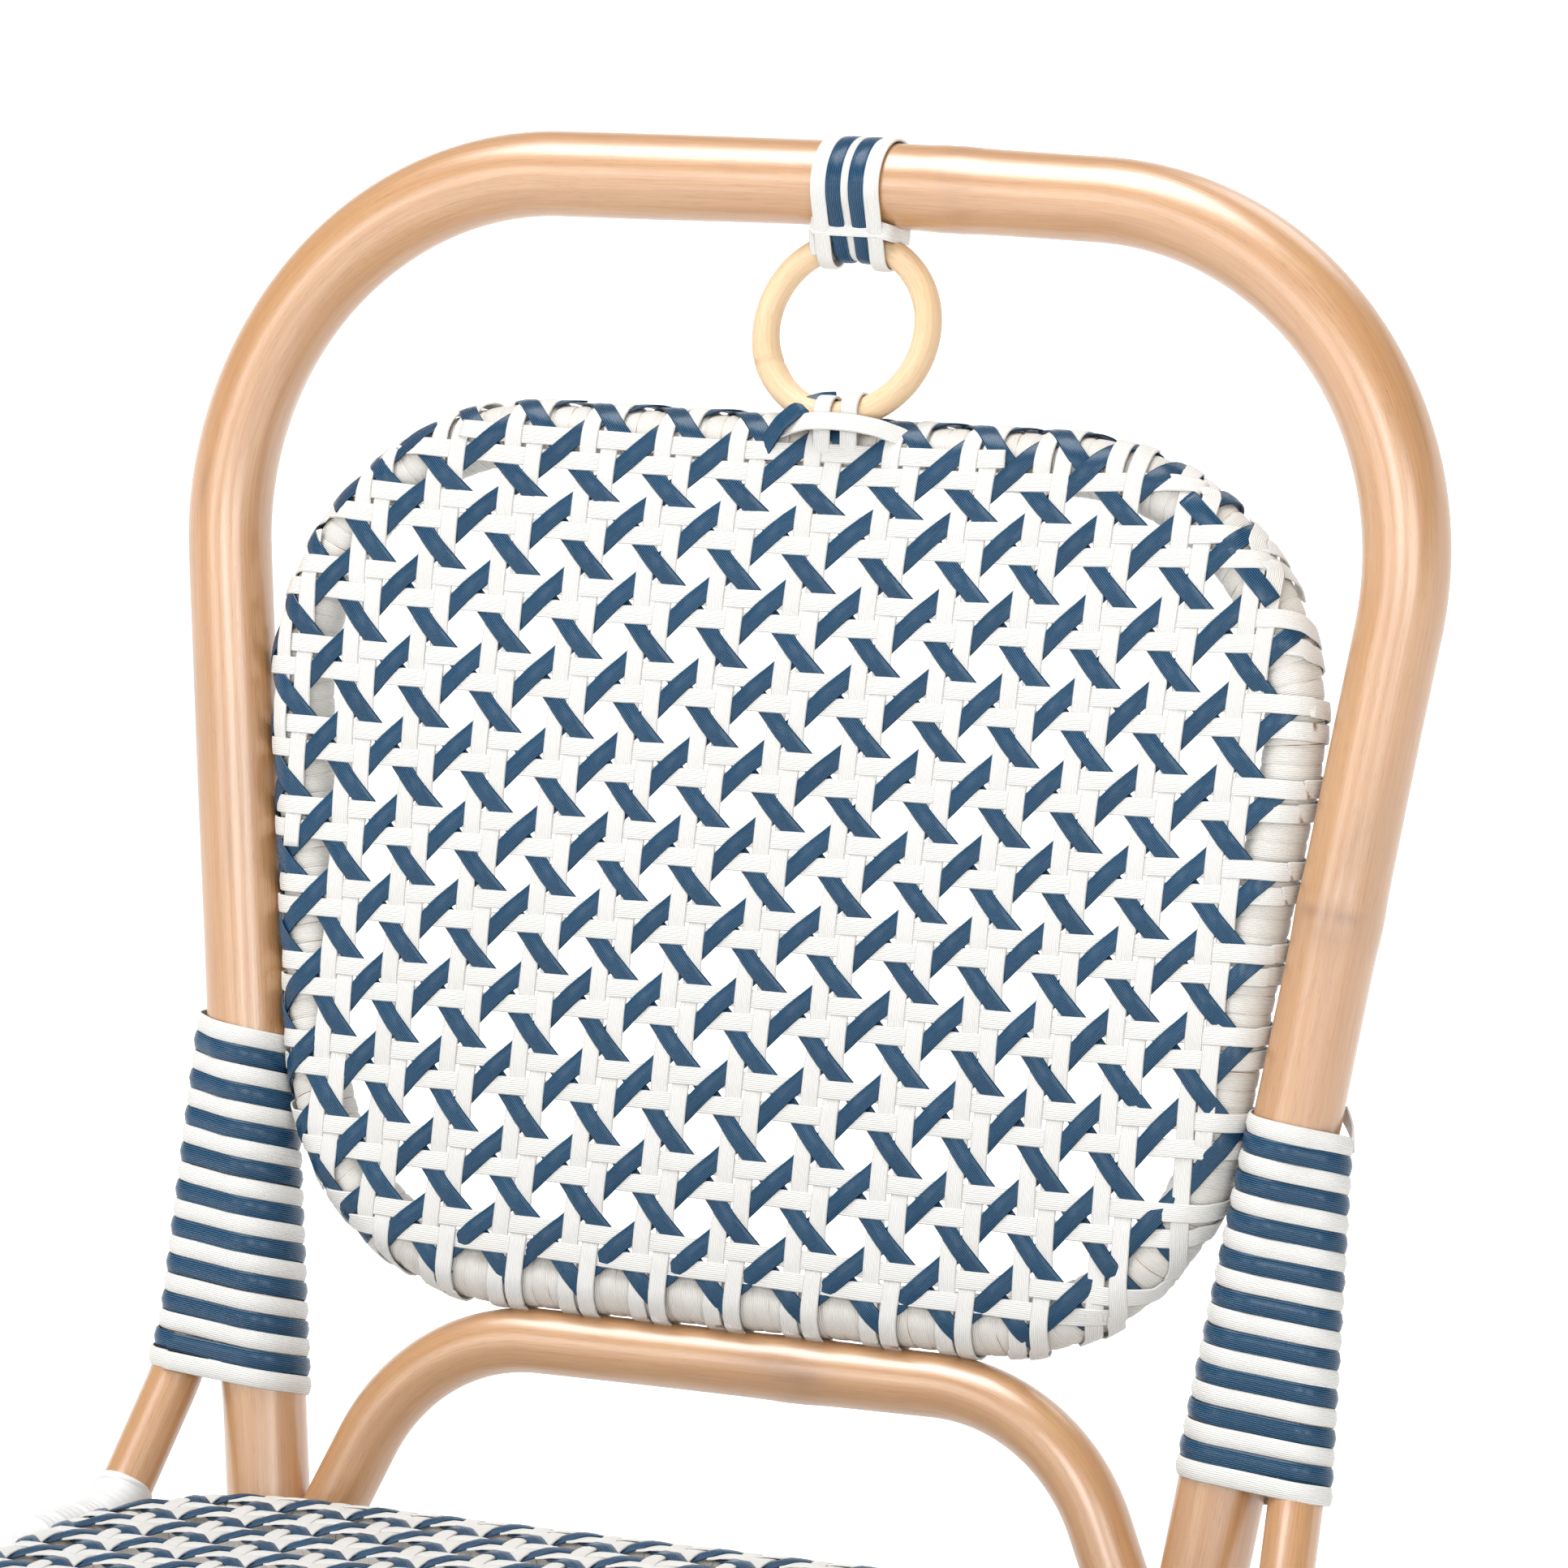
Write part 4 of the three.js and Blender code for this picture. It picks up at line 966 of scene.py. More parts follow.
    def pole(self, name: str, radius: float, reference: Array, **extra: object) -> None:
        """One pole along its route, which stands for the frame's node of that name.

        Args:
            name: the route's and the node's name.
            radius: the pole's radius.
            reference: the direction that its grain is laid from.
            **extra: Pole's other fields.
        """
        skin = Pole(self.routes[name], radius, reference, **extra).skin()
        Skin().grid(*skin).piece(name + "_pole", self.finishes.rattan, name)


# Strands


def strand_section(width: float, thick: float, crown: float, count: int) -> tuple[Array, Array]:
    """A flat strand's section: a rounded oblong, bowed by a crown.

    Round the turn, across = width / 2 * sign * |sin| ^ 0.35 and
    out = thick / 2 * sign * |cos| ^ 0.3 + crown * (1 - (2 across / width) ^ 2).

    Args:
        width: its width.
        thick: its thickness.
        crown: how far its middle is raised.
        count: how many points go round it.

    Returns:
        The points' places across and outwards.
    """
    turn = np.linspace(0, 2 * math.pi, count, endpoint=False)
    sin, cos = np.sin(turn), np.cos(turn)
    across = width / 2 * np.sign(sin) * np.abs(sin) ** 0.35
    out = thick / 2 * np.sign(cos) * np.abs(cos) ** 0.3
    return across, out + crown * (1 - (2 * across / width) ** 2)


@dataclass
class Ribbon:
    """A flat strand laid along points, with its outer face along the given directions."""

    width: float
    thick: float = 0.9
    crown: float = 0.12
    count: int = 8
    ident: float = 0.0

    def skin(self, points: Array, outward: Array, closed: bool = False,
             edges: Array | None = None) -> tuple[Array, Array]:
        """The strand's surface: point + out * outward + across * (run x outward).

        Args:
            points: the middle line.
            outward: the outer face's direction at each point.
            closed: whether the strand is a loop.
            edges: the lift of its two edges over its middle at each point, if it twists.

        Returns:
            The grid, and at each point (across, strand number, distance along).
        """
        run = directions(points, closed)
        out = unit(outward - np.sum(outward * run, -1, keepdims=True) * run)
        sideways = np.cross(run, out)
        across, rise = strand_section(self.width, self.thick, self.crown, self.count)
        wide = np.broadcast_to(across, (len(points), self.count))
        lift = np.broadcast_to(rise, wide.shape)
        if edges is not None:
            off = 2 * across / self.width
            lift = lift + np.clip(-off, 0, None) * edges[:, :1] + np.clip(off, 0, None) * edges[:, 1:]
        grid = points[:, None] + wide[..., None] * sideways[:, None] + lift[..., None] * out[:, None]
        along = np.broadcast_to(stretch_of(points)[:, None], wide.shape)
        return grid, np.stack([wide, np.full(wide.shape, self.ident), along], -1)


class Hull:
    """The outline round several circles in a plane, as a tight loop lies on them."""

    def __init__(self, axis_a: Array, axis_b: Array) -> None:
        """Keeps the plane's two directions."""
        self.a, self.b = axis_a, axis_b

    def points(self, centres: Array, radii: Array, turn: Array, standoff: float) -> tuple[Array, Array]:
        """For each direction, the circle that reaches farthest gives centre + radius * direction.

        Args:
            centres: circles by three, or turns by circles by three.
            radii: circles, or turns by circles.
            turn: the directions' angles.
            standoff: how far outside the circles the loop lies.

        Returns:
            The loop's points and outward directions.
        """
        outward = np.cos(turn)[:, None] * self.a + np.sin(turn)[:, None] * self.b
        centres = np.broadcast_to(centres, (len(turn), *np.shape(centres)[-2:]))
        radii = np.broadcast_to(radii, centres.shape[:2])
        reach = np.einsum("ijk,ik->ij", centres, outward) + radii
        best = np.argmax(reach, 1)
        rows = np.arange(len(turn))
        spot = centres[rows, best] + (radii[rows, best] + standoff)[:, None] * outward
        return spot, outward


class Family(Enum):
    """The six ways of the weave: direction in cells, and the lines' first offset."""

    UP_LEFT = ((0, 1), -0.137)
    UP_RIGHT = ((0, 1), 0.137)
    ACROSS_HIGH = ((1, 0), -0.149)
    ACROSS_LOW = ((1, 0), 0.149)
    FALLING = ((1, 1), 0.5)
    RISING = ((1, -1), 0.5)

    @property
    def blue(self) -> bool:
        """Whether the family is of blue strands."""
        return self in (Family.FALLING, Family.RISING)


class EndKind(Enum):
    """How a strand's end leaves the weave."""

    ROUND = "woven on round the frame"
    LAID = "laid down on the frame's winding"
    TUCKED = "ended under the last white strand"


@dataclass
class Weave:
    """A caned panel: six families of strands woven on a plane and led round its frame pole."""

    name: str
    centre: tuple[float, float]
    cell_across: tuple[float, float]
    cell_up: tuple[float, float]
    loop: Array
    origin: Array
    axis_a: Array
    axis_b: Array
    normal: Array
    reach: float
    step: float
    wrap_turn: float = 3.6
    strand: float = 5.84
    thick: float = 0.66
    lift: float = 0.36
    blue_lift: float = 0.95
    stray: float = 0.2
    wander: float = 0.16
    corner_end: float = 8.0
    corner_span: float = 14.0
    tuck_far: float = 18.3
    tuck_near: float = 10.9
    sides: int = 10
    all_round: bool = False
    seed: int = 11
    sway: tuple[tuple[tuple[float, ...], ...], ...] = ()
    sway_half: float = 165.0
    columns: tuple[tuple[float, float], ...] = ((0, 0),)
    rows: tuple[tuple[float, float], ...] = ((0, 0),)

    def plane(self, cells: Array) -> Array:
        """Cell places (right, down) as places on the plane.

        The lattice is even but for a slow sway, which each way is the sum of c[i][j] x^i y^j, with
        x and y the place from the centre in tenths of a metre, held within the panel, and but for
        the shift of single columns and rows.
        """
        u, v = cells[..., :1], 0.5 - cells[..., 1:]
        spots = np.array(self.centre) + u * np.array(self.cell_across) + v * np.array(self.cell_up)
        if not self.sway:
            return spots
        held = np.clip(spots - [0, self.centre[1]], -self.sway_half, self.sway_half) / 100
        slow = [np.polynomial.polynomial.polyval2d(held[..., 0], held[..., 1], np.array(c))
                for c in self.sway]
        shift = [np.interp(spots[..., k], *np.array(t).T)
                 for k, t in enumerate((self.columns, self.rows))]
        return spots + np.stack(slow, -1) + np.stack(shift, -1)

    def outside(self, spots: Array) -> tuple[Array, Array, Array]:
        """How far spots lie outside the frame's centre line, with its nearest points and normals.

        The distance is to the nearest of the loop's points, positive where the spot lies on the
        side of the loop's outward normal.

        Args:
            spots: places on the plane, n by 2.

        Returns:
            The distances, the nearest points and the outward normals.
        """
        run = unit(np.roll(self.loop, -1, 0) - np.roll(self.loop, 1, 0))
        normal = np.stack([run[:, 1], -run[:, 0]], -1)
        middle = self.loop.mean(0)
        normal = normal * np.sign(np.sum(normal * (self.loop - middle), -1))[:, None]
        square = np.sum(spots ** 2, 1)[:, None] - 2 * spots @ self.loop.T + np.sum(self.loop ** 2, 1)
        best = np.argmin(square, 1)
        near, out = self.loop[best], normal[best]
        gap = spots - near
        far = np.sum(gap * out, -1)
        slide = gap - far[:, None] * out
        return far, near + slide, out

    def height(self, family: Family, cells: Array) -> Array:
        """The weave's rise above its plane.

        White strands go as lift * f(sin 2 pi t) with f(x) = x sqrt(1.25) / sqrt(x^2 + 0.25), signs
        set so that each pair weaves plainly. A blue strand that goes over the upright pairs has the
        height blue lift * min(cos 2 pi u, -cos 2 pi v), and the other way's has u and v exchanged.

        Args:
            family: the strands' way.
            cells: their places in cells.

        Returns:
            The rises.
        """
        u, v = 2 * np.pi * cells[..., 0], 2 * np.pi * cells[..., 1]

        def bowed(wave: Array) -> Array:
            """A sine with fuller tops."""
            return self.lift * wave * math.sqrt(1.25) / np.sqrt(wave ** 2 + 0.25)

        return {
            Family.UP_LEFT: -bowed(np.sin(v)), Family.UP_RIGHT: bowed(np.sin(v)),
            Family.ACROSS_HIGH: bowed(np.sin(u)), Family.ACROSS_LOW: -bowed(np.sin(u)),
            Family.FALLING: self.blue_lift * np.minimum(np.cos(u), -np.cos(v)),
            Family.RISING: self.blue_lift * np.minimum(-np.cos(u), np.cos(v))}[family]

    def end_kind(self, family: Family, normal: Array) -> EndKind:
        """How an end leaves where the frame's outward normal is the given one."""
        if self.all_round or normal[0] < -0.35 or normal[1] > 0.6:
            return EndKind.ROUND
        return EndKind.TUCKED if family.blue else EndKind.LAID

    def strands(self, family: Family) -> list[tuple[Array, Array, Array, float]]:
        """Every strand of a family.

        Args:
            family: its way.

        Returns:
            For each strand its middle line, outward directions, edges' lift and tint.
        """
        rng = np.random.default_rng(self.seed + list(Family).index(family))
        direction = np.array(family.value[0], float)
        share = np.linspace(-24, 24, 1921)
        found = []
        for number in range(-24, 25):
            offset = number + family.value[1]
            first = np.array((0, offset) if family.value[0] == (1, 0) else (offset, 0), float)
            far, _, out = self.outside(self.plane(first + share[:, None] * direction))
            nearest = int(np.argmin(far))
            room = 11.0 if self.end_kind(family, out[nearest]) is EndKind.ROUND else -5.0
            if far[nearest] > room:
                continue
            ends = [self.end(family, first, share[::way], far[::way], out[::way], rng) for way in (1, -1)]
            found.append(self.line(family, first, ends, rng))
        return found

    def cell_size(self, family: Family, first: Array) -> float:
        """How long one cell is along a family's way, from a cell place."""
        return np.linalg.norm(self.plane(first + np.array(family.value[0], float)) - self.plane(first))

    def end(self, family: Family, first: Array, share: Array, far: Array, out: Array,
            rng: np.random.Generator) -> tuple[float, EndKind]:
        """Where one end of a strand lies, and how it leaves.

        A tucked end lies under the middle of a white strand, so its place down (at the sides) or
        across (at the foot) is a whole number of cells and that strand's offset. Where the frame
        bends they end on its winding. Other ends are shorter where they meet the frame aslant.

        Args:
            family: the strand's way.
            first: a cell place on it.
            share: places along it, from outside in.
            far: how far outside the frame's centre line each one is.
            out: the frame's normal near each one.
            rng: the seeded numbers.

        Returns:
            The end's place along the strand, and its kind.
        """
        cross = int(np.argmax(far < max(0.0, far.min() + 0.5)))
        kind = self.end_kind(family, out[cross])
        limit = self.reach * self.wrap_turn * rng.uniform(0.93, 1.0)
        cell = self.cell_size(family, first)
        if kind is not EndKind.TUCKED:
            step = np.abs(np.gradient(far, share * cell))[cross]
            near = np.abs(share - share[cross]) * cell < (0.3 + 0.95 * step) * limit
            return float(share[np.argmax((far < limit) & near)]), kind
        way = math.copysign(1, share[0] - share[-1])
        order = np.argsort(share)
        if min(abs(out[cross][0]), abs(out[cross][1])) > 0.35:
            near = np.abs(share - share[cross]) * cell < self.corner_span
            return float(share[np.argmax((far < self.corner_end) & near)]), kind
        sideways = bool(out[cross][0] > -out[cross][1])
        axis, under = (1, Family.ACROSS_HIGH) if sideways else (0, Family.UP_RIGHT)
        places = (np.arange(-30, 31) + under.value[1] - first[axis]) / family.value[0][axis]
        room = self.tuck_far if (family is Family.RISING) == sideways else self.tuck_near
        reached = places[np.interp(places, share[order], far[order]) < room]
        return float(way * np.max(way * reached) + way * rng.uniform(-0.01, 0.04)), kind

    def line(self, family: Family, first: Array, ends: list[tuple[float, EndKind]],
             rng: np.random.Generator) -> tuple[Array, Array, Array, float]:
        """One strand from end to end.

        Inside, its points are plane + normal * (reach + rise). Beyond the frame's centre line, at
        a distance q, they wrap by the angle q / reach. A laid end keeps the rise that it has past
        the last crossing and settles on the winding; a tucked end sinks to the winding.

        Args:
            family: the strand's way.
            first: a cell place on it.
            ends: the end places along it and how each leaves.
            rng: the seeded numbers for its small faults.

        Returns:
            Its middle line, outward directions, the lift of its edges over its middle, and tint.
        """
        direction = np.array(family.value[0], float)
        (low, low_kind), (high, high_kind) = ends
        size = self.cell_size(family, first)
        count = max(8, int((high - low) * size / self.step))
        share = np.linspace(low, high, count)
        cells = first + share[:, None] * direction
        waver = rng.uniform(0, 6.28, 2)
        spots = self.plane(cells) + rng.normal(0, self.stray, 2)
        spots = spots + self.wander * np.sin(share[:, None] * [1.7, 2.1] + waver)
        far, near, out = self.outside(spots)
        if not family.blue:
            along = cells[:, 0] if direction[0] else cells[:, 1]
            far = far - 3.5 * (0.5 + 0.5 * np.cos(2 * np.pi * along)) * eased((far - 9) / 5)
        rise = self.height(family, self.held(family, cells, far, high_kind))
        edges = self.edges(family, cells, spots)
        for place, kind, way in ((low, low_kind, -1), (high, high_kind, 1)):
            half = (share - (low + high) / 2) * way > 0
            if kind is EndKind.TUCKED:
                sink = eased((0.35 - (place - share) * way) / 0.25)
                rise = np.where(half, rise - np.clip(rise + 0.5, 0, None) * sink, rise)
                edges = edges * (1 - sink * half)[:, None]
            elif kind is EndKind.LAID:
                last = np.linalg.norm(spots - spots[-1 if way > 0 else 0], axis=1)
                lid = self.lid(far, out, aslant=bool(direction[1]))
                rise = np.where(half, np.minimum(rise, lid), rise)
                rise = rise - np.clip(rise + 0.9, 0, None) * eased((9 - last) / 8) * half
            elif family.blue:
                flatter = 1 - 0.45 * eased((far + 6) / 12) * half
                rise, edges = rise * flatter, edges * flatter[:, None]
        radius = self.reach + rise
        turn = np.clip(far / self.reach, 0, None)
        flat_out = np.where(far > 0, radius * np.sin(turn), far)
        base = near + out * flat_out[:, None]
        points = (self.origin + base[:, :1] * self.axis_a + base[:, 1:] * self.axis_b
                  + (radius * np.cos(turn))[:, None] * self.normal)
        spread = out[:, :1] * self.axis_a + out[:, 1:] * self.axis_b
        outward = np.sin(turn)[:, None] * spread + np.cos(turn)[:, None] * self.normal
        return points, outward, edges, float(rng.uniform(0, 1))

    def lid(self, far: Array, out: Array, aslant: bool) -> Array:
        """The highest rise of a strand that is laid down on the winding.

        Args:
            far: how far outside the frame's centre line its points are.
            out: the frame's normals there.
            aslant: whether it rides over the others where it meets the frame aslant.

        Returns:
            The rises.
        """
        lid = self.lift * (1 - 0.6 * eased((far + 2) / 7) - 1.4 * eased((far - 18) / 8))
        if aslant:
            meets = eased((np.abs(out).min(1) - 0.2) / 0.15)
            lid = lid + 0.75 * meets * (1 - eased((far - 16) / 6))
        return lid

    def edges(self, family: Family, cells: Array, spots: Array) -> Array:
        """How far a blue strand's edges are lifted over its middle, as the weave twists it.

        Each edge has the weave's height at its own place, half the width across from the middle.

        Args:
            family: the strand's way.
            cells: its middle's cell places.
            spots: its middle's places on the plane.

        Returns:
            The lift of both edges at each point, none for a white strand.
        """
        if not family.blue:
            return np.zeros((len(cells), 2))
        run = unit(np.gradient(spots, axis=0))
        sideways = np.stack([run[:, 1], -run[:, 0]], -1) * self.strand / 2
        lattice = np.stack([self.cell_across, -np.array(self.cell_up)], -1)
        step = sideways @ np.linalg.inv(lattice).T
        middle = self.height(family, cells)
        return np.stack([self.height(family, cells + way * step) - middle for way in (-1, 1)], -1)

    def held(self, family: Family, cells: Array, far: Array, kind: EndKind) -> Array:
        """Cells whose place along a laid strand stops a quarter past the last crossing inside."""
        if kind is not EndKind.LAID:
            return cells
        axis = 0 if family.value[0][0] else 1
        last = math.floor(float(np.max(cells[far < 2, axis], initial=-99)))
        stopped = cells.copy()
        stopped[:, axis] = np.minimum(stopped[:, axis], last + 0.25)
        return stopped

    def build(self, finishes: Finishes, node: str) -> None:
        """Builds the six families as four pieces, the paired white ones together.

        Args:
            finishes: the chair's materials.
            node: the frame's node that they stand for.
        """
        parts = (("up_strands", (Family.UP_LEFT, Family.UP_RIGHT)),
                 ("across_strands", (Family.ACROSS_HIGH, Family.ACROSS_LOW)),
                 ("falling_strands", (Family.FALLING,)), ("rising_strands", (Family.RISING,)))
        for word, families in parts:
            skin = Skin()
            laid = [strand for family in families for strand in self.strands(family)]
            for number, (points, outward, edges, tint) in enumerate(laid, 1):
                ribbon = Ribbon(self.strand, thick=self.thick, crown=0.1, count=self.sides,
                                ident=9.0 * number)
                skin.grid(*ribbon.skin(points, outward, edges=edges), 0.35 * tint)
            skin.piece(f"{self.name}_{word}", finishes.strand(families[0].blue), node)


@dataclass
class WrappedFrame:
    """A frame pole closely wound with flat strand."""

    name: str
    loop: Array
    reference: Array
    radius: float
    pitch: float
    sides: int = 26
    rows_per_turn: int = 9

    def build(self, look: Look, node: str) -> None:
        """The wound surface: radius - groove * |2 f - 1| ^ 6, f being the place in the strand.

        The strand's place is f = s / pitch - turn / (2 pi), less its whole part, s the distance
        along the pole; the number of turns round the loop is whole, so that it closes.

        Args:
            look: its material and slot.
            node: the frame's node that it stands for.
        """
        total = np.linalg.norm(np.roll(self.loop, -1, 0) - self.loop, axis=1).sum()
        turns = int(round(total / self.pitch))
        route = even(self.loop, total / (turns * self.rows_per_turn), True)
        along = np.arange(len(route))[:, None] * turns / len(route)
        turn = np.linspace(0, 1, self.sides, endpoint=False)[None]
        place = (along - turn) % 1
        radius = self.radius - 0.55 * np.abs(2 * place - 1) ** 6
        grid, lie = Sleeve(route, self.reference, True).skin(radius, self.sides)
        lie[..., 2] = along * self.pitch
        rng = np.random.default_rng(5)
        shade = rng.uniform(0, 0.5, turns)[np.floor(along - turn).astype(int) % turns]
        Skin().grid(grid, lie, shade, along=True).piece(self.name, look, node)


def plane_loop(corners: list[Corner], origin: Array, axis_a: Array, axis_b: Array) -> Array:
    """A closed route's points as places on a plane."""
    route = bent_route(corners, True, FRAME_STEP) - origin
    return np.stack([route @ axis_a, route @ axis_b], -1)


def panel_corners() -> list[Corner]:
    """The back panel frame's corners."""
    foot = PLAN.panel_foot, PLAN.panel_foot_corner
    top = PLAN.panel_top, PLAN.panel_top_corner
    return [(on_back(way * PLAN.panel_half(rise), rise), bend)
            for way, (rise, bend) in ((-1, foot), (1, foot), (1, top), (-1, top))]


def seat_corners() -> list[Corner]:
    """The seat frame's corners."""
    p = PLAN
    rear, front = p.seat_rear_edge - p.seat_pole, p.seat_front_edge + p.seat_pole
    wide_rear, wide_front = p.seat_rear_half - p.seat_pole, p.seat_rear_half + p.seat_splay - p.seat_pole
    level = p.seat_level
    return mirrored([(np.array([-wide_rear, rear, level]), p.seat_rear_corner - p.seat_pole),
                     (np.array([-wide_front, front, level]), p.seat_front_corner - p.seat_pole)])


# The back weave's measured sway in millimetres: across and up, and by single columns and rows.
BACK_SWAY = (((0.71, 0.32, 1.01, 0.34, 0.11),
             (0.96, 1.07, 0.48, -0.41, 0),
             (-0.4, -0.92, -0.06, 0, 0),
             (-0.98, 0.53, 0, 0, 0),
             (0.18, 0, 0, 0, 0)),
             ((0.77, -2.27, -0.65, 1.37, 0.31),
             (1.52, -0.27, 0.02, 0.8, 0),
             (0.08, 1.19, 0.74, 0, 0),
             (0.09, -0.02, 0, 0, 0),
             (0.2, 0, 0, 0, 0)))

BACK_COLUMNS = (
    (-160, 0.1), (-140, -0.5), (-120, -0.8), (-100, -0.3), (-80, 0.3), (-60, 0.1), (-40, -0.3),
    (-20, -0.5), (0, -0.7), (20, -0.3), (40, 0.3), (60, 0.6), (80, 0), (100, -0.5), (120, -0.7),
    (140, 0), (160, 0.6))
BACK_ROWS = (
    (75, 0.7), (95, -0.6), (115, -0.9), (135, 0.1), (155, 0.6), (175, 0.4), (195, -0.1),
    (215, -0.2), (235, -0.3), (255, -0.1), (275, 0.1), (295, 0.4), (315, -0.4), (335, -3.8))


@dataclass
class BackPanel:
    """The caned back: wrapped frame and weave, its cells laid as they are seen."""

    finishes: Finishes
    centre: tuple[float, float] = (4.8, 247.3)
    cell_wide: float = 25.41
    cell_high: float = 25.18
    tilt: float = math.radians(0.38)
    lean: float = math.tan(math.radians(2.57))

    def build(self) -> None:
        """Builds both."""
        loop = bent_route(panel_corners(), True, FRAME_STEP)
        WrappedFrame("panel_frame_winding", loop, BACK_FRONT, PLAN.panel_pole, WOUND_PITCH).build(
            self.finishes.wound, "back_panel_frame")
        origin = on_back(0, 0)
        Weave("panel", centre=self.centre,
              cell_across=(self.cell_wide * math.cos(self.tilt), -self.cell_wide * math.sin(self.tilt)),
              cell_up=(self.cell_high * self.lean, self.cell_high),
              loop=plane_loop(panel_corners(), origin, ACROSS, BACK_UP), origin=origin,
              axis_a=ACROSS, axis_b=BACK_UP, normal=BACK_FRONT,
              reach=PLAN.panel_pole + TOUCH_GAP + PLAN.cane / 2, step=1.9, sway=BACK_SWAY,
              columns=BACK_COLUMNS, rows=BACK_ROWS).build(self.finishes, "back_panel_weave")


@dataclass
class Seat:
    """The caned seat: wrapped frame and weave."""

    finishes: Finishes
    centre: tuple[float, float] = (-94.4, -38.0)
    cell_wide: float = 23.93
    cell_deep: float = 21.47

    def build(self) -> None:
        """Builds both."""
        loop = bent_route(seat_corners(), True, FRAME_STEP)
        WrappedFrame("seat_frame_winding", loop, UPRIGHT, PLAN.seat_pole, WOUND_PITCH, sides=24).build(
            self.finishes.wound, "seat_frame")
        origin = np.array([0, 0, PLAN.seat_level])
        Weave("seat", centre=self.centre, cell_across=(self.cell_wide, 0.0),
              cell_up=(0.0, self.cell_deep),
              loop=plane_loop(seat_corners(), origin, ACROSS, DEPTHWISE), origin=origin,
              axis_a=ACROSS, axis_b=DEPTHWISE, normal=UPRIGHT,
              reach=PLAN.seat_pole + TOUCH_GAP + PLAN.cane / 2, step=2.4, wrap_turn=3.2, strand=5.4,
              thick=0.8, lift=0.5, blue_lift=1.3, all_round=True,
              seed=31).build(self.finishes, "seat_weave")


# Bindings, strap, ring and small pieces


def crossing_at(route: Array, rise: Array, direction: Array) -> tuple[Array, Array]:
    """Where a route crosses levels of a direction, and how much its section stretches there.

    Args:
        route: the route's points, with levels that rise along it.
        rise: the levels.
        direction: the levels' direction.

    Returns:
        The places and, for each, 1 / |run . direction|.
    """
    level = route @ direction
    order = np.argsort(level)
    run = directions(route)
    place = looked_up(rise, level[order], route[order])
    slope = np.interp(rise, level[order], np.abs(run @ direction)[order])
    return place, 1 / slope


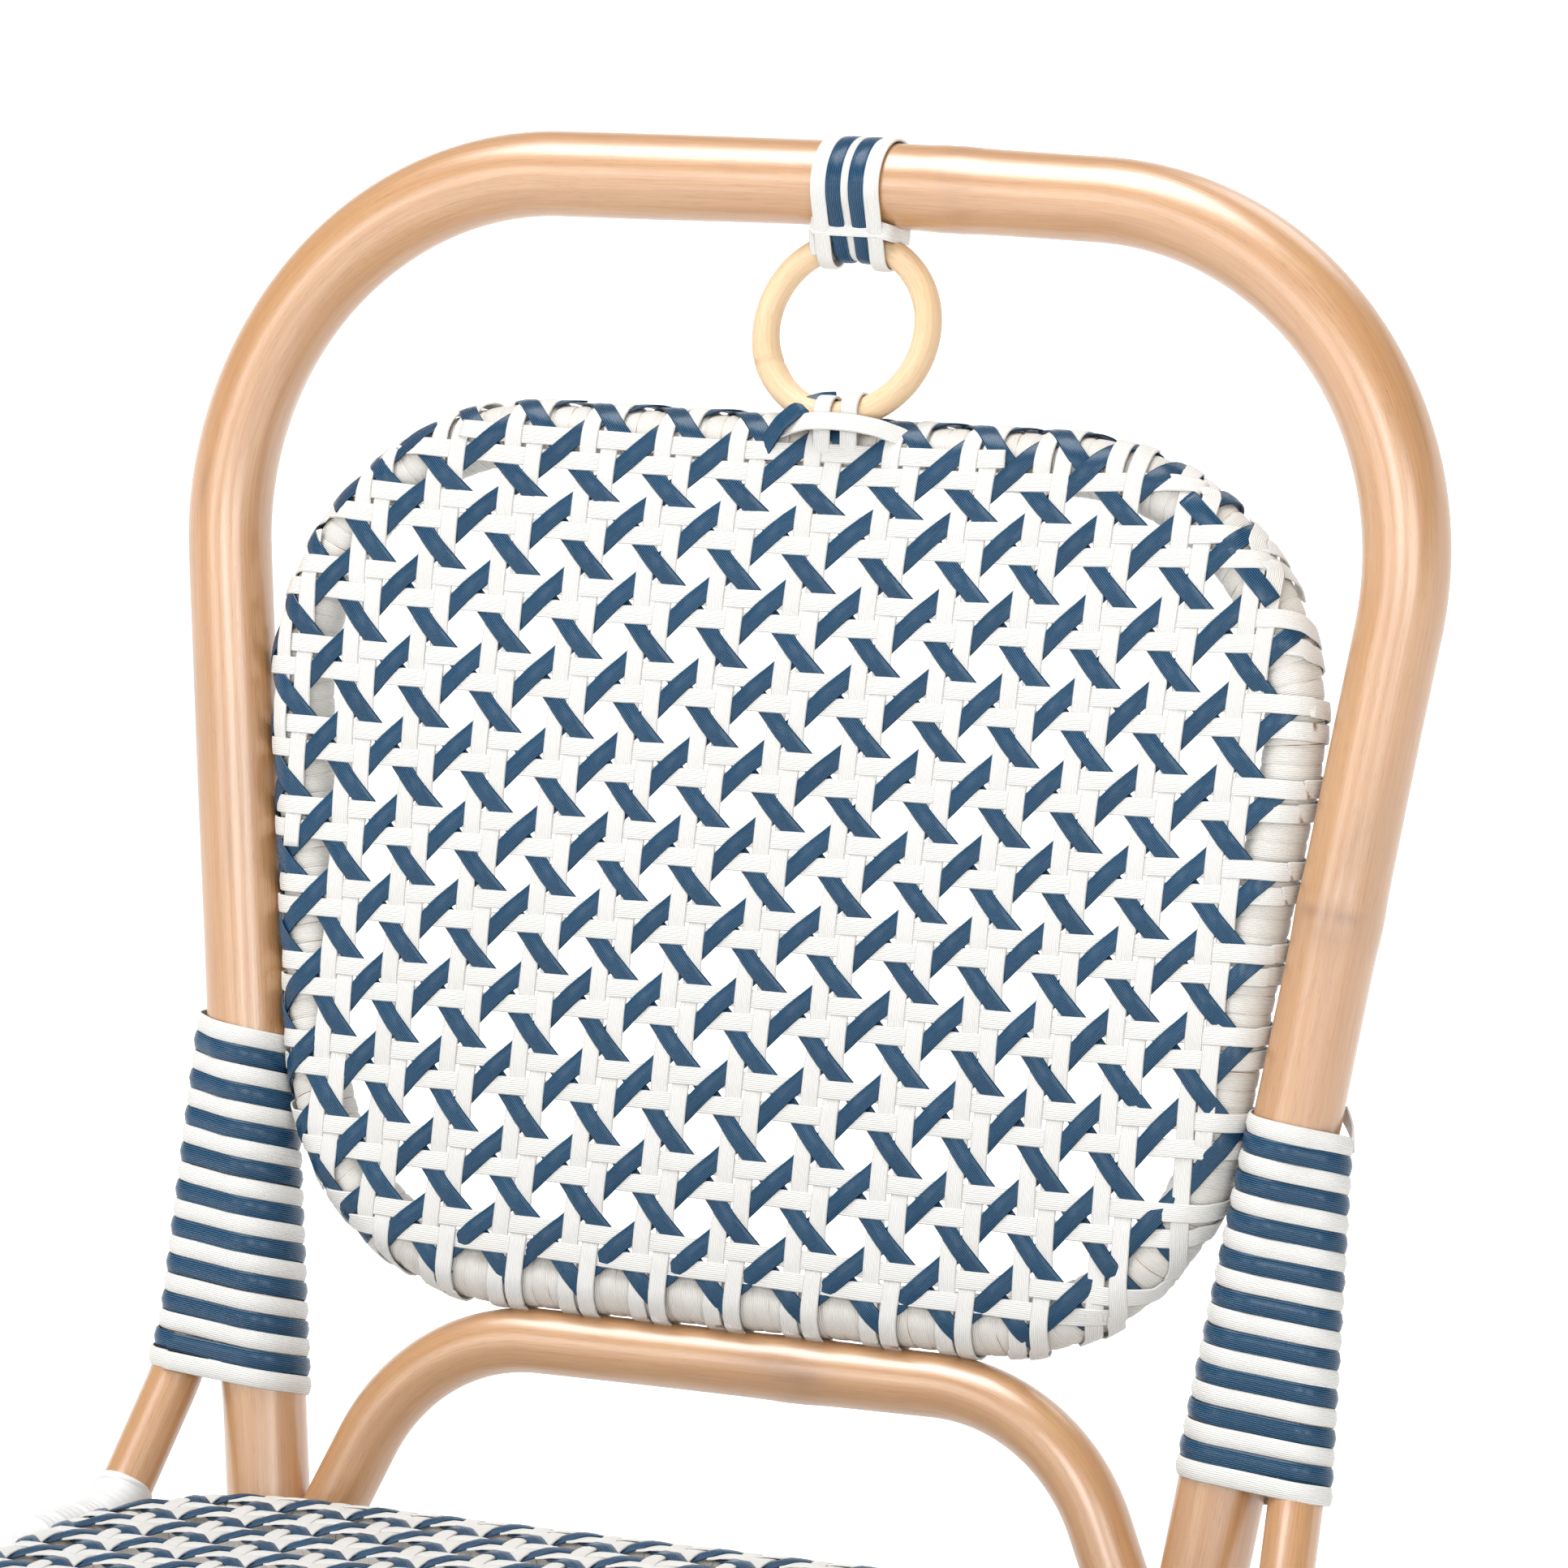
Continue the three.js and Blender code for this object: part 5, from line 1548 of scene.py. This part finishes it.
@dataclass
class PostBinding:
    """A striped binding: a white and a blue strand wound together round a post and its brace."""

    finishes: Finishes
    poles: Poles
    side: Side
    band: float = 5.9
    low_rise: float = 33.0
    tail_rise: float = 112.0
    tail_radius: float = 2.5
    tail_growth: float = 2.2
    steps: int = 88

    def outline(self, turn: Array, rise: Array) -> tuple[Array, Array]:
        """The bound outline's points and directions, round the post, the brace and the tail.

        The white strand's own tail lies on the post's outer side, under the right one's top bands.

        Args:
            turn: the turns made, a quarter turn before the front at the start.
            rise: the rises there.

        Returns:
            The points and the outward directions.
        """
        brace = self.poles.routes[f"{self.side.word}_side_brace"]
        ahead = brace[:1] + unit(brace[:1] - brace[1:2]) * 40
        place, stretch = crossing_at(np.concatenate([ahead, brace]), rise + DATUM, BACK_UP)
        post = on_back(self.side.value * PLAN.post_spacing(rise), rise)
        reach = self.poles.brace_radius * stretch
        grown = 0 * rise
        if self.side is Side.RIGHT:
            grown = self.tail_growth * eased((rise - self.tail_rise) / 1.2)
        reach_out = self.side.value * (PLAN.hoop_radius - self.tail_radius + grown)
        tail = post + reach_out[:, None] * ACROSS
        centres = np.stack([post, place, tail], 1)
        radii = np.stack([np.full(len(turn), PLAN.hoop_radius), reach,
                          np.full(len(turn), self.tail_radius)], -1)
        angle = 2 * np.pi * (turn - 0.25)
        return Hull(ACROSS, BACK_FRONT).points(centres, radii, angle, TOUCH_GAP + 0.35)

    def winding(self, turns: int, low_rise: float, ident: float) -> tuple[Array, Array]:
        """One wound strand, which climbs evenly with its length.

        At turn n its direction is 2 pi (n - 1/4) and its rise low + (n - 1/2) * two bands; n is then
        taken from its length in each turn instead, and the strand laid again at even steps.

        Args:
            turns: how many turns it makes.
            low_rise: the rise of its first turn's middle.
            ident: its number.

        Returns:
            The grid and its lie.
        """
        turn = np.linspace(0, turns, turns * self.steps + 1)
        rise = low_rise + (turn - 0.5) * 2 * self.band
        for _ in range(2):
            spot, outward = self.outline(turn, rise)
            length = stretch_of(spot)
            by_length = np.interp(length, length[::self.steps], np.arange(turns + 1))
            laid, rise = rise, low_rise + (by_length - 0.5) * 2 * self.band
        spot = spot + (rise - laid)[:, None] * BACK_UP
        length = stretch_of(spot)
        wanted = np.linspace(0, length[-1], int(length[-1] / 1.3))
        line = looked_up(wanted, length, np.concatenate([spot, outward], 1))
        rng = np.random.default_rng(int(ident))
        wave = 0.12 * np.sin(wanted / 52 + rng.uniform(0, 6))
        wave = wave + 0.06 * np.sin(wanted / 17 + rng.uniform(0, 6))
        spot = line[:, :3] + wave[:, None] * BACK_UP
        return Ribbon(self.band, thick=0.9, crown=0.75, count=14, ident=ident).skin(spot, unit(line[:, 3:]))

    def build(self) -> None:
        """Builds the white strand, the blue strand and the white one's tucked end."""
        word = self.side.word
        white = Skin().grid(*self.winding(10, self.low_rise, 11.0 + self.side.value))
        if self.side is Side.RIGHT:
            white.grid(*self.tail())
        white.piece(f"{word}_white_winding", self.finishes.white, f"{word}_binding_white")
        Skin().grid(*self.winding(9, self.low_rise + self.band, 21.0 + self.side.value)).piece(
            f"{word}_blue_winding", self.finishes.blue, f"{word}_binding_blue")

    def tail(self) -> tuple[Array, Array]:
        """The white strand's end, which leaves the top band upwards and bends behind the post."""
        share = np.linspace(0, 1, 14)
        rise = 136.5 + 10.0 * share
        turn = np.radians(8 + 40 * share)
        outward = np.cos(turn)[:, None] * ACROSS - np.sin(turn)[:, None] * BACK_FRONT
        post = on_back(PLAN.post_spacing(rise), rise)
        spots = post + (18.6 - 3.8 * share)[:, None] * outward
        return Ribbon(5.2, thick=0.9, crown=0.1, count=10, ident=3.0).skin(spots, outward)


# Places across, up and out from the ring's foot, which its band and its blue strand pass.
FOOT_BAND = ((-20, -6.5, 8.8), (-13, -4.2, 11.5), (-6, -2.6, 14.8), (2, -2.2, 15.4), (10, -2.4, 15.0),
             (17, -3.4, 12.6), (24, -5.6, 9.4), (30, -10, 6.0))
FOOT_ARC = ((-24, -15, 9.6), (-21, -10, 11.0), (-16, -3.6, 13.0), (-10, 1.6, 12.6), (-4, 4.2, 9.6),
            (0, 4.8, 6.5))


@dataclass
class RingSet:
    """The hanging ring, its striped strap and cinch, and the ties over its foot."""

    finishes: Finishes
    poles: Poles
    offset: float = 12.2
    lean: float = 8.6
    pole_radius: float = 4.3
    strand: float = 4.9
    thin: float = 2.2
    thick: float = 1.1
    cinch_width: float = 5.2
    cinch_deep: float = 5.6
    cinch_corner: float = 2.6
    tie_places: tuple[float, float] = (-1.9, 7.2)

    def __post_init__(self) -> None:
        """Works out where the ring lies, between the hoop and the panel frame's top."""
        hoop = self.poles.routes["back_hoop"]
        top = hoop[hoop[:, 2] > PLAN.seat_height]
        order = np.argsort(top[:, 0])
        self.hoop_rise = float(np.interp(self.offset, top[order, 0], (top @ BACK_UP)[order])) - DATUM
        high = self.hoop_rise - PLAN.hoop_radius - TOUCH_GAP - self.pole_radius
        seat = PLAN.panel_pole + TOUCH_GAP + self.pole_radius
        low = PLAN.panel_top + math.sqrt(seat ** 2 - self.lean ** 2)
        self.top, self.foot = on_back(self.offset, high), on_back(self.offset, low, self.lean)
        self.up = unit(self.top - self.foot)
        self.centre = (self.top + self.foot) / 2
        self.radius = float(np.linalg.norm(self.top - self.foot)) / 2

    def pole_at(self, spot: Array, way: int, across: float, place: float) -> tuple[Array, float]:
        """The ring's pole a little across from its top or foot, laid over for a strand there."""
        level = math.sqrt(self.radius ** 2 - across ** 2)
        centre = spot + self.up * way * (level - self.radius)
        centre = np.array([self.offset + place, centre[1], centre[2]])
        return centre, self.pole_radius * self.radius / level

    def build(self) -> None:
        """Builds every piece."""
        self.ring()
        self.strap()
        self.ties()

    def ring(self) -> None:
        """The ring: centre + radius * (sin * across + cos * up), swept round."""
        turn = np.linspace(0, 2 * np.pi, 144, endpoint=False)[:, None]
        route = self.centre + self.radius * (np.sin(turn) * ACROSS + np.cos(turn) * self.up)
        facing = np.cross(ACROSS, self.up)
        skin = Pole(route, self.pole_radius, facing, closed=True, sides=24, nodes=(0.68,), seed=17,
                    waver=0.05).skin()
        Skin().grid(*skin, along=True).piece(
            "hanging_ring_pole", self.finishes.pale, "hanging_ring")

    def loop(self, across: float, width: float, standoff: float) -> tuple[Array, Array]:
        """One strand's loop round the hoop and the ring's top."""
        turn = np.linspace(0, 2 * np.pi, 96, endpoint=False)
        edges = (across - width / 2, across + width / 2)
        ring = [self.pole_at(self.top, 1, edge, across) for edge in edges]
        centres = np.stack([on_back(self.offset + across, self.hoop_rise), *[c for c, _ in ring]])
        radii = np.array([PLAN.hoop_radius, *[r for _, r in ring]])
        return Hull(BACK_FRONT, BACK_UP).points(centres, radii, turn, standoff)

    def strap(self) -> None:
        """Five strands side by side, each a loop, and the cinch round them all."""
        widths = (self.strand, self.strand, self.thin, self.strand, self.strand)
        names = ("white_left", "blue_left", "white_middle", "blue_right", "white_right")
        total = sum(widths) + 4 * TOUCH_GAP
        edge = -total / 2
        for number, (width, name) in enumerate(zip(widths, names)):
            blue = name.startswith("blue")
            spot, outward = self.loop(edge + width / 2, width, TOUCH_GAP + self.thick / 2)
            ribbon = Ribbon(width + 0.25, thick=self.thick - 0.1, crown=0.12, count=10, ident=5.0 + number)
            grid, lie = ribbon.skin(spot, outward, True)
            Skin().grid(grid, lie, 0.2 * (number % 3), along=True).piece(
                f"strap_{name}", self.finishes.strand(blue), f"ring_strap_{name}")
            edge += width + TOUCH_GAP
        self.cinch(total)

    def cinch(self, total: float) -> None:
        """A strand round the strap under the hoop, its ends crossed behind at the left."""
        side, reach = self.pole_at(self.top, 1, total / 2 + TOUCH_GAP, 0)
        level = (side @ BACK_UP - DATUM + reach + self.hoop_rise - PLAN.hoop_radius) / 2 + 0.4
        turn = np.linspace(0, 2 * np.pi, 72, endpoint=False)
        half = total / 2 - 0.9
        corners = [on_back(self.offset + a * half, level, b * self.cinch_deep) for a, b in
                   ((-1, -1), (1, -1), (1, 1), (-1, 1))]
        spot, outward = Hull(ACROSS, BACK_FRONT).points(
            np.stack(corners), np.full(4, self.cinch_corner), turn, 0.55)
        spot = spot - (0.9 * np.cos(turn))[:, None] * BACK_UP
        band = Ribbon(self.cinch_width, thick=0.8, crown=0.15, count=10, ident=2.0)
        skin = Skin().grid(*band.skin(spot, outward, True), along=True)
        share = np.linspace(0, 1, 16)
        for way, drop in ((-1, 7.5), (-0.72, 9.0)):
            tail = on_back(self.offset + way * (half + 2.2), level - drop * share - 1,
                           6.8 - 2.4 * share)
            facing = np.broadcast_to(BACK_FRONT, tail.shape)
            skin.grid(*Ribbon(3.4, thick=0.8, crown=0.1, count=8, ident=4.0 + drop).skin(tail, facing))
        skin.piece("strap_cinch", self.finishes.white, "ring_strap_cinch")

    def ties(self) -> None:
        """Two white strands hooked over the ring's foot, a white band before it and a blue arc."""
        turn = np.linspace(0.15, np.pi, 40)
        for word, shift in zip(("left", "right"), self.tie_places):
            edges = [shift - self.strand / 2, shift + self.strand / 2]
            feet = [self.pole_at(self.foot, -1, edge, shift) for edge in edges]
            centres = np.stack([*[c for c, _ in feet], on_back(self.offset + shift, PLAN.panel_top)])
            radii = np.array([*[r for _, r in feet], PLAN.panel_pole + 0.6])
            spot, outward = Hull(BACK_FRONT, BACK_UP).points(
                centres, radii, turn, TOUCH_GAP + self.thick / 2)
            lead = np.linspace(1, 0, 8)[:, None]
            low = on_back(self.offset + shift - 0.8, PLAN.panel_top - 4, PLAN.panel_pole + TOUCH_GAP)
            start = spot[0] + lead * (low - spot[0])
            end = spot[-1] - (1 - lead[1:]) * BACK_UP * 10
            points = np.concatenate([start[:-1], spot, end])
            directed = np.concatenate([np.broadcast_to(BACK_FRONT, start[:-1].shape), outward,
                                       np.broadcast_to(outward[-1], end.shape)])
            ribbon = Ribbon(self.strand + 0.9, thick=self.thick - 0.2, crown=0.12, count=10,
                            ident=8.0 + shift)
            Skin().grid(*ribbon.skin(points, directed), 0.2).piece(
                f"ring_foot_tie_{word}", self.finishes.white, f"ring_lower_tie_{word}")
        self.led("ring_foot_band", self.finishes.white, FOOT_BAND)
        self.led("ring_foot_arc", self.finishes.blue, FOOT_ARC)

    def led(self, name: str, look: Look, route: Sequence[Sequence[float]]) -> None:
        """A strand led along places given across, up and out from the ring's foot, smoothed."""
        knots = np.array(route, float)
        rise = float((self.foot - on_back(0, 0)) @ BACK_UP)
        share = np.linspace(0, len(knots) - 1, 60)
        near = np.exp(-((share[:, None] - np.arange(len(knots))) / 0.62) ** 2)
        spots = near @ knots / near.sum(1)[:, None]
        points = on_back(self.offset + spots[:, 0], rise + spots[:, 1], spots[:, 2])
        outward = np.broadcast_to(BACK_FRONT + 0.35 * BACK_UP, points.shape)
        ribbon = Ribbon(5.8, thick=0.8, crown=0.15, count=10, ident=3.0)
        Skin().grid(*ribbon.skin(points, outward), 0.1).piece(name, look)


@dataclass
class EndWrap:
    """The tape wound round a brace's lower end, each turn lapping the last."""

    finishes: Finishes
    poles: Poles
    side: Side
    length: float = 50.0
    pitch: float = 13.0
    lead: float = 1.6
    dome: float = 3.2
    sides: int = 32

    def build(self) -> None:
        """The wrap: radius + 0.65 + 0.55 * place ^ 1.4, with the place in the turn from 0 to 1.

        Its first 1.6 mm rise from the pole, and a dome sqrt(1 - q^2) closes it over the pole's end.
        """
        route = self.poles.routes[f"{self.side.word}_side_brace"]
        along = stretch_of(route)
        past = route[-1:] + unit(route[-1:] - route[-2:-1]) * self.dome
        kept = even(np.concatenate([route[along > along[-1] - self.length], past]), 0.5)
        length = stretch_of(kept)[:, None]
        place = (length / self.pitch - np.linspace(0, 1, self.sides, endpoint=False)[None]) % 1
        radius = self.poles.brace_radius + 0.65 + 0.55 * place ** 1.4
        begun = np.clip(length / self.lead, 0, 1)
        radius = radius - (1 - np.sqrt(1 - (1 - begun) ** 2))
        over = np.clip(1 - (length[-1] - length) / self.dome, 0, 0.9998)
        radius = radius * np.sqrt(1 - over ** 2)
        grid, lie = Sleeve(kept, ACROSS).skin(radius, self.sides)
        lie = lie[..., [2, 0, 1]]
        Skin().grid(grid, lie, 0.3 * place).piece(
            f"{self.side.word}_brace_tape", self.finishes.tape,
            f"{self.side.word}_brace_end_wrap")


@dataclass
class LegBinding:
    """A plain binding round a leg and the two arch feet that meet it."""

    finishes: Finishes
    poles: Poles
    front: bool
    side: Side
    height: float = 44.0
    band: float = 5.5
    steps: int = 72

    def build(self) -> None:
        """A strand wound on the hull of the leg's and the arches' circles, level by level."""
        way, word = self.side.value, self.side.word
        leg = "front_leg_hoop" if self.front else "back_hoop"
        cross = "front_arch_brace" if self.front else "rear_arch_brace"
        turns = int(self.height / self.band)
        turn = np.linspace(0, turns, turns * self.steps + 1)
        low = self.poles.foot_height + TOUCH_GAP
        level = low + self.band * (0.5 + turn * (1 - 1 / turns))
        places, radii = [], []
        small = self.poles.small_radius
        for name, sign, radius in ((leg, way, PLAN.hoop_radius), (cross, way, small),
                                   (f"{word}_arch_brace", 1 if self.front else -1, small)):
            place, stretch = crossing_at(leg_of(self.poles.routes[name], sign), level, UPRIGHT)
            places.append(place)
            radii.append(radius * stretch)
        spot, outward = Hull(ACROSS, DEPTHWISE).points(
            np.stack(places, 1), np.stack(radii, 1), 2 * np.pi * turn, 0.5)
        ribbon = Ribbon(self.band * 0.97, thick=0.8, crown=0.45, count=10, ident=3.0)
        grid, lie = ribbon.skin(spot, outward)
        end = "front" if self.front else "rear"
        Skin().grid(grid, lie).piece(f"{end}_{word}_leg_winding", self.finishes.white,
                                     f"{end}_{word}_leg_binding")


@dataclass
class Glide:
    """A foot glide: a turned plug with a rounded rim under a leg."""

    finishes: Finishes
    node: str
    profile: tuple[tuple[float, float], ...] = (
        (0, 2.1), (0.15, 1.5), (0.5, 1.05), (1.0, 0.8), (2.4, 0.5), (4.2, 0.2), (5.2, 0.05),
        (5.75, 0.2), (6.0, 0.7))

    def build(self) -> None:
        """The plug: a profile of heights and distances inside its widest, turned round."""
        low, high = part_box(self.node)
        middle = (np.array(low) + np.array(high)) / 2 / MM - [0, PLAN.shift, 0]
        wide = (high.x - low.x) / 2 / MM
        heights, inset = np.array(self.profile).T
        radii = wide - inset
        spots = np.tile(middle, (len(heights), 1))
        spots[:, 2] = heights
        grid, lie = Sleeve(spots, ACROSS).skin(radii, 36)
        Skin().grid(grid, lie).piece(self.node + "_plug", self.finishes.nylon, self.node)


@dataclass
class Staples:
    """Small wire staples that hold strand ends on the panel frame."""

    finishes: Finishes
    places: tuple[tuple[float, float, float, float], ...] = (
        (134.0, 90.0, 5.8, 0.9), (-142.0, 128.0, 4.0, 0.3), (-92.0, 74.0, 7.0, 1.2),
        (40.0, 71.0, 6.0, 1.5))
    half: float = 2.6
    leg: float = 2.5
    stand: float = 0.4
    bend: float = 0.7
    wire: float = 0.32

    def build(self) -> None:
        """Each staple is a bent wire: a bar with two short legs, swept round."""
        skin = Skin()
        for across, rise, reach, turn in self.places:
            way = math.cos(turn) * ACROSS + math.sin(turn) * BACK_UP
            spot = on_back(across, rise, reach)
            shape = ((-self.half, -self.leg, 0), (-self.half, self.stand, self.bend),
                     (self.half, self.stand, self.bend), (self.half, -self.leg, 0))
            corners = [(spot + way * end + BACK_FRONT * out, bend) for end, out, bend in shape]
            route = bent_route(corners, step=0.4)
            skin.grid(*Sleeve(route, np.cross(way, BACK_FRONT)).skin(self.wire, 8))
        skin.piece("frame_staples", self.finishes.wire)


# Floor, light and camera


@dataclass
class Studio:
    """The plain pale floor, the soft lights and the camera."""

    lens: float = 202.6
    eye: tuple[float, float, float] = (1165.472, -2401.324, 1135.946)
    target: tuple[float, float, float] = (21.139, 0, 686.103)
    floor_reach: float = 60.0
    wall_radius: float = 20.0
    wall_sides: int = 96

    def build(self) -> None:
        """Sets all of it up."""
        self.floor()
        self.wall()
        self.light()
        self.camera()

    def backdrop(self, name: str, points: list, faces: list, scale: float, pale: float) \
            -> tuple[bpy.types.Object, Shade, bpy.types.Node, bpy.types.NodeSocket]:
        """Starts a pale matt thing of the studio, with its material.

        Args:
            name: its name.
            points: its points.
            faces: its faces.
            scale: how fine its faint mottle is.
            pale: the mottle's lighter grey.

        Returns:
            The thing, its material's tools and shader, and the place on it.
        """
        mesh = bpy.data.meshes.new(name)
        mesh.from_pydata(points, [], faces)
        thing = bpy.data.objects.new(name, mesh)
        bpy.context.scene.collection.objects.link(thing)
        material, s, shader = started(name + "_look")
        place = s.node("ShaderNodeTexCoord").outputs["Object"]
        speck = s.mix(s.noise(place, scale, 2), (0.9, 0.9, 0.9, 1), (pale, pale, pale, 1))
        s.feed(shader.inputs["Base Color"], speck)
        set_values(shader, Emission_Color=(1, 1, 1, 1), Roughness=0.9, Specular_IOR_Level=0.1)
        mesh.materials.append(material)
        return thing, s, shader, place

    def floor(self) -> None:
        """A wide pale floor, which goes over to an even white from a metre off the chair."""
        reach = self.floor_reach
        corners = [(-reach, -reach, 0), (reach, -reach, 0), (reach, reach, 0), (-reach, reach, 0)]
        thing, s, shader, place = self.backdrop("studio_floor", corners, [(0, 1, 2, 3)], 3, 0.94)
        off = s.node("ShaderNodeVectorMath", operation="LENGTH", i0=place).outputs["Value"]
        s.feed(shader.inputs["Emission Strength"], s.part(0.75, s.ramp(off, 0.9, 2.4)))

    def wall(self) -> None:
        """A far round white wall, 3.2 m high, and 9 * sine ^ 2 higher behind the chair."""
        sides, radius = self.wall_sides, self.wall_radius
        turn = np.linspace(0, 2 * math.pi, sides, endpoint=False)
        foot = np.stack([radius * np.cos(turn), radius * np.sin(turn), 0 * turn], -1)
        high = 3.2 + 9 * np.clip(np.sin(turn), 0, None) ** 2
        here, after = np.arange(sides), (np.arange(sides) + 1) % sides
        thing, _, shader, _ = self.backdrop(
            "studio_wall", np.concatenate([foot, foot + high[:, None] * UPRIGHT]).tolist(),
            np.stack([here, after, after + sides, here + sides], -1).tolist(), 2, 0.92)
        set_values(shader, Emission_Strength=0.5)

    def lamp(self, name: str, place: tuple[float, float, float], size: float, power: float) -> None:
        """A square soft light that looks at the chair's middle."""
        data = bpy.data.lights.new(name, "AREA")
        data.size, data.energy = size, power
        thing = bpy.data.objects.new(name, data)
        thing.location = place
        aim = Vector((0, 0, 0.55)) - Vector(place)
        thing.rotation_euler = aim.to_track_quat("-Z", "Y").to_euler()
        bpy.context.scene.collection.objects.link(thing)

    def light(self) -> None:
        """A bright even sky with five soft lights."""
        world = bpy.data.worlds.new("studio_sky")
        bpy.context.scene.world = world
        world.use_nodes = True
        sky = world.node_tree.nodes["Background"]
        sky.inputs[0].default_value = (1, 1, 1, 1)
        sky.inputs[1].default_value = 0.29
        self.lamp("key_light", (-0.8, -0.5, 3.6), 2.0, 104)
        self.lamp("front_light", (0.5, -3.0, 1.9), 1.0, 28)
        self.lamp("left_light", (-1.5, -2.9, 1.7), 1.2, 17)
        self.lamp("right_light", (2.2, -2.2, 1.6), 1.2, 24)
        self.lamp("rim_light", (0.4, 2.2, 3.0), 1.4, 18)
        bpy.context.scene.view_settings.view_transform = "Standard"

    def camera(self) -> None:
        """The camera, where a fit to the photographed outlines puts it."""
        data = bpy.data.cameras.new("photo_camera")
        data.lens, data.sensor_width, data.sensor_fit = self.lens, 36, "HORIZONTAL"
        data.clip_start, data.clip_end = 0.05, 200
        thing = bpy.data.objects.new("photo_camera", data)
        shift = Vector((0, PLAN.shift, 0))
        place = (Vector(self.eye) + shift) * MM
        aim = (Vector(self.target) + shift) * MM
        thing.location = place
        thing.rotation_euler = (aim - place).to_track_quat("-Z", "Y").to_euler()
        bpy.context.scene.collection.objects.link(thing)
        bpy.context.scene.camera = thing


def main() -> None:
    """Builds the chair's looks, then its studio."""
    logging.basicConfig(level=logging.INFO, format="%(name)s: %(message)s")
    Studio().build()
    finishes = Finishes()
    poles = Poles(finishes)
    poles.build()
    BackPanel(finishes).build()
    Seat(finishes).build()
    for side in Side:
        PostBinding(finishes, poles, side).build()
        EndWrap(finishes, poles, side).build()
        for front in (False, True):
            LegBinding(finishes, poles, front, side).build()
            Glide(finishes, f"{'front' if front else 'rear'}_{side.word}_glide").build()
    RingSet(finishes, poles).build()
    Staples(finishes).build()


if __name__ == "__main__":
    main()
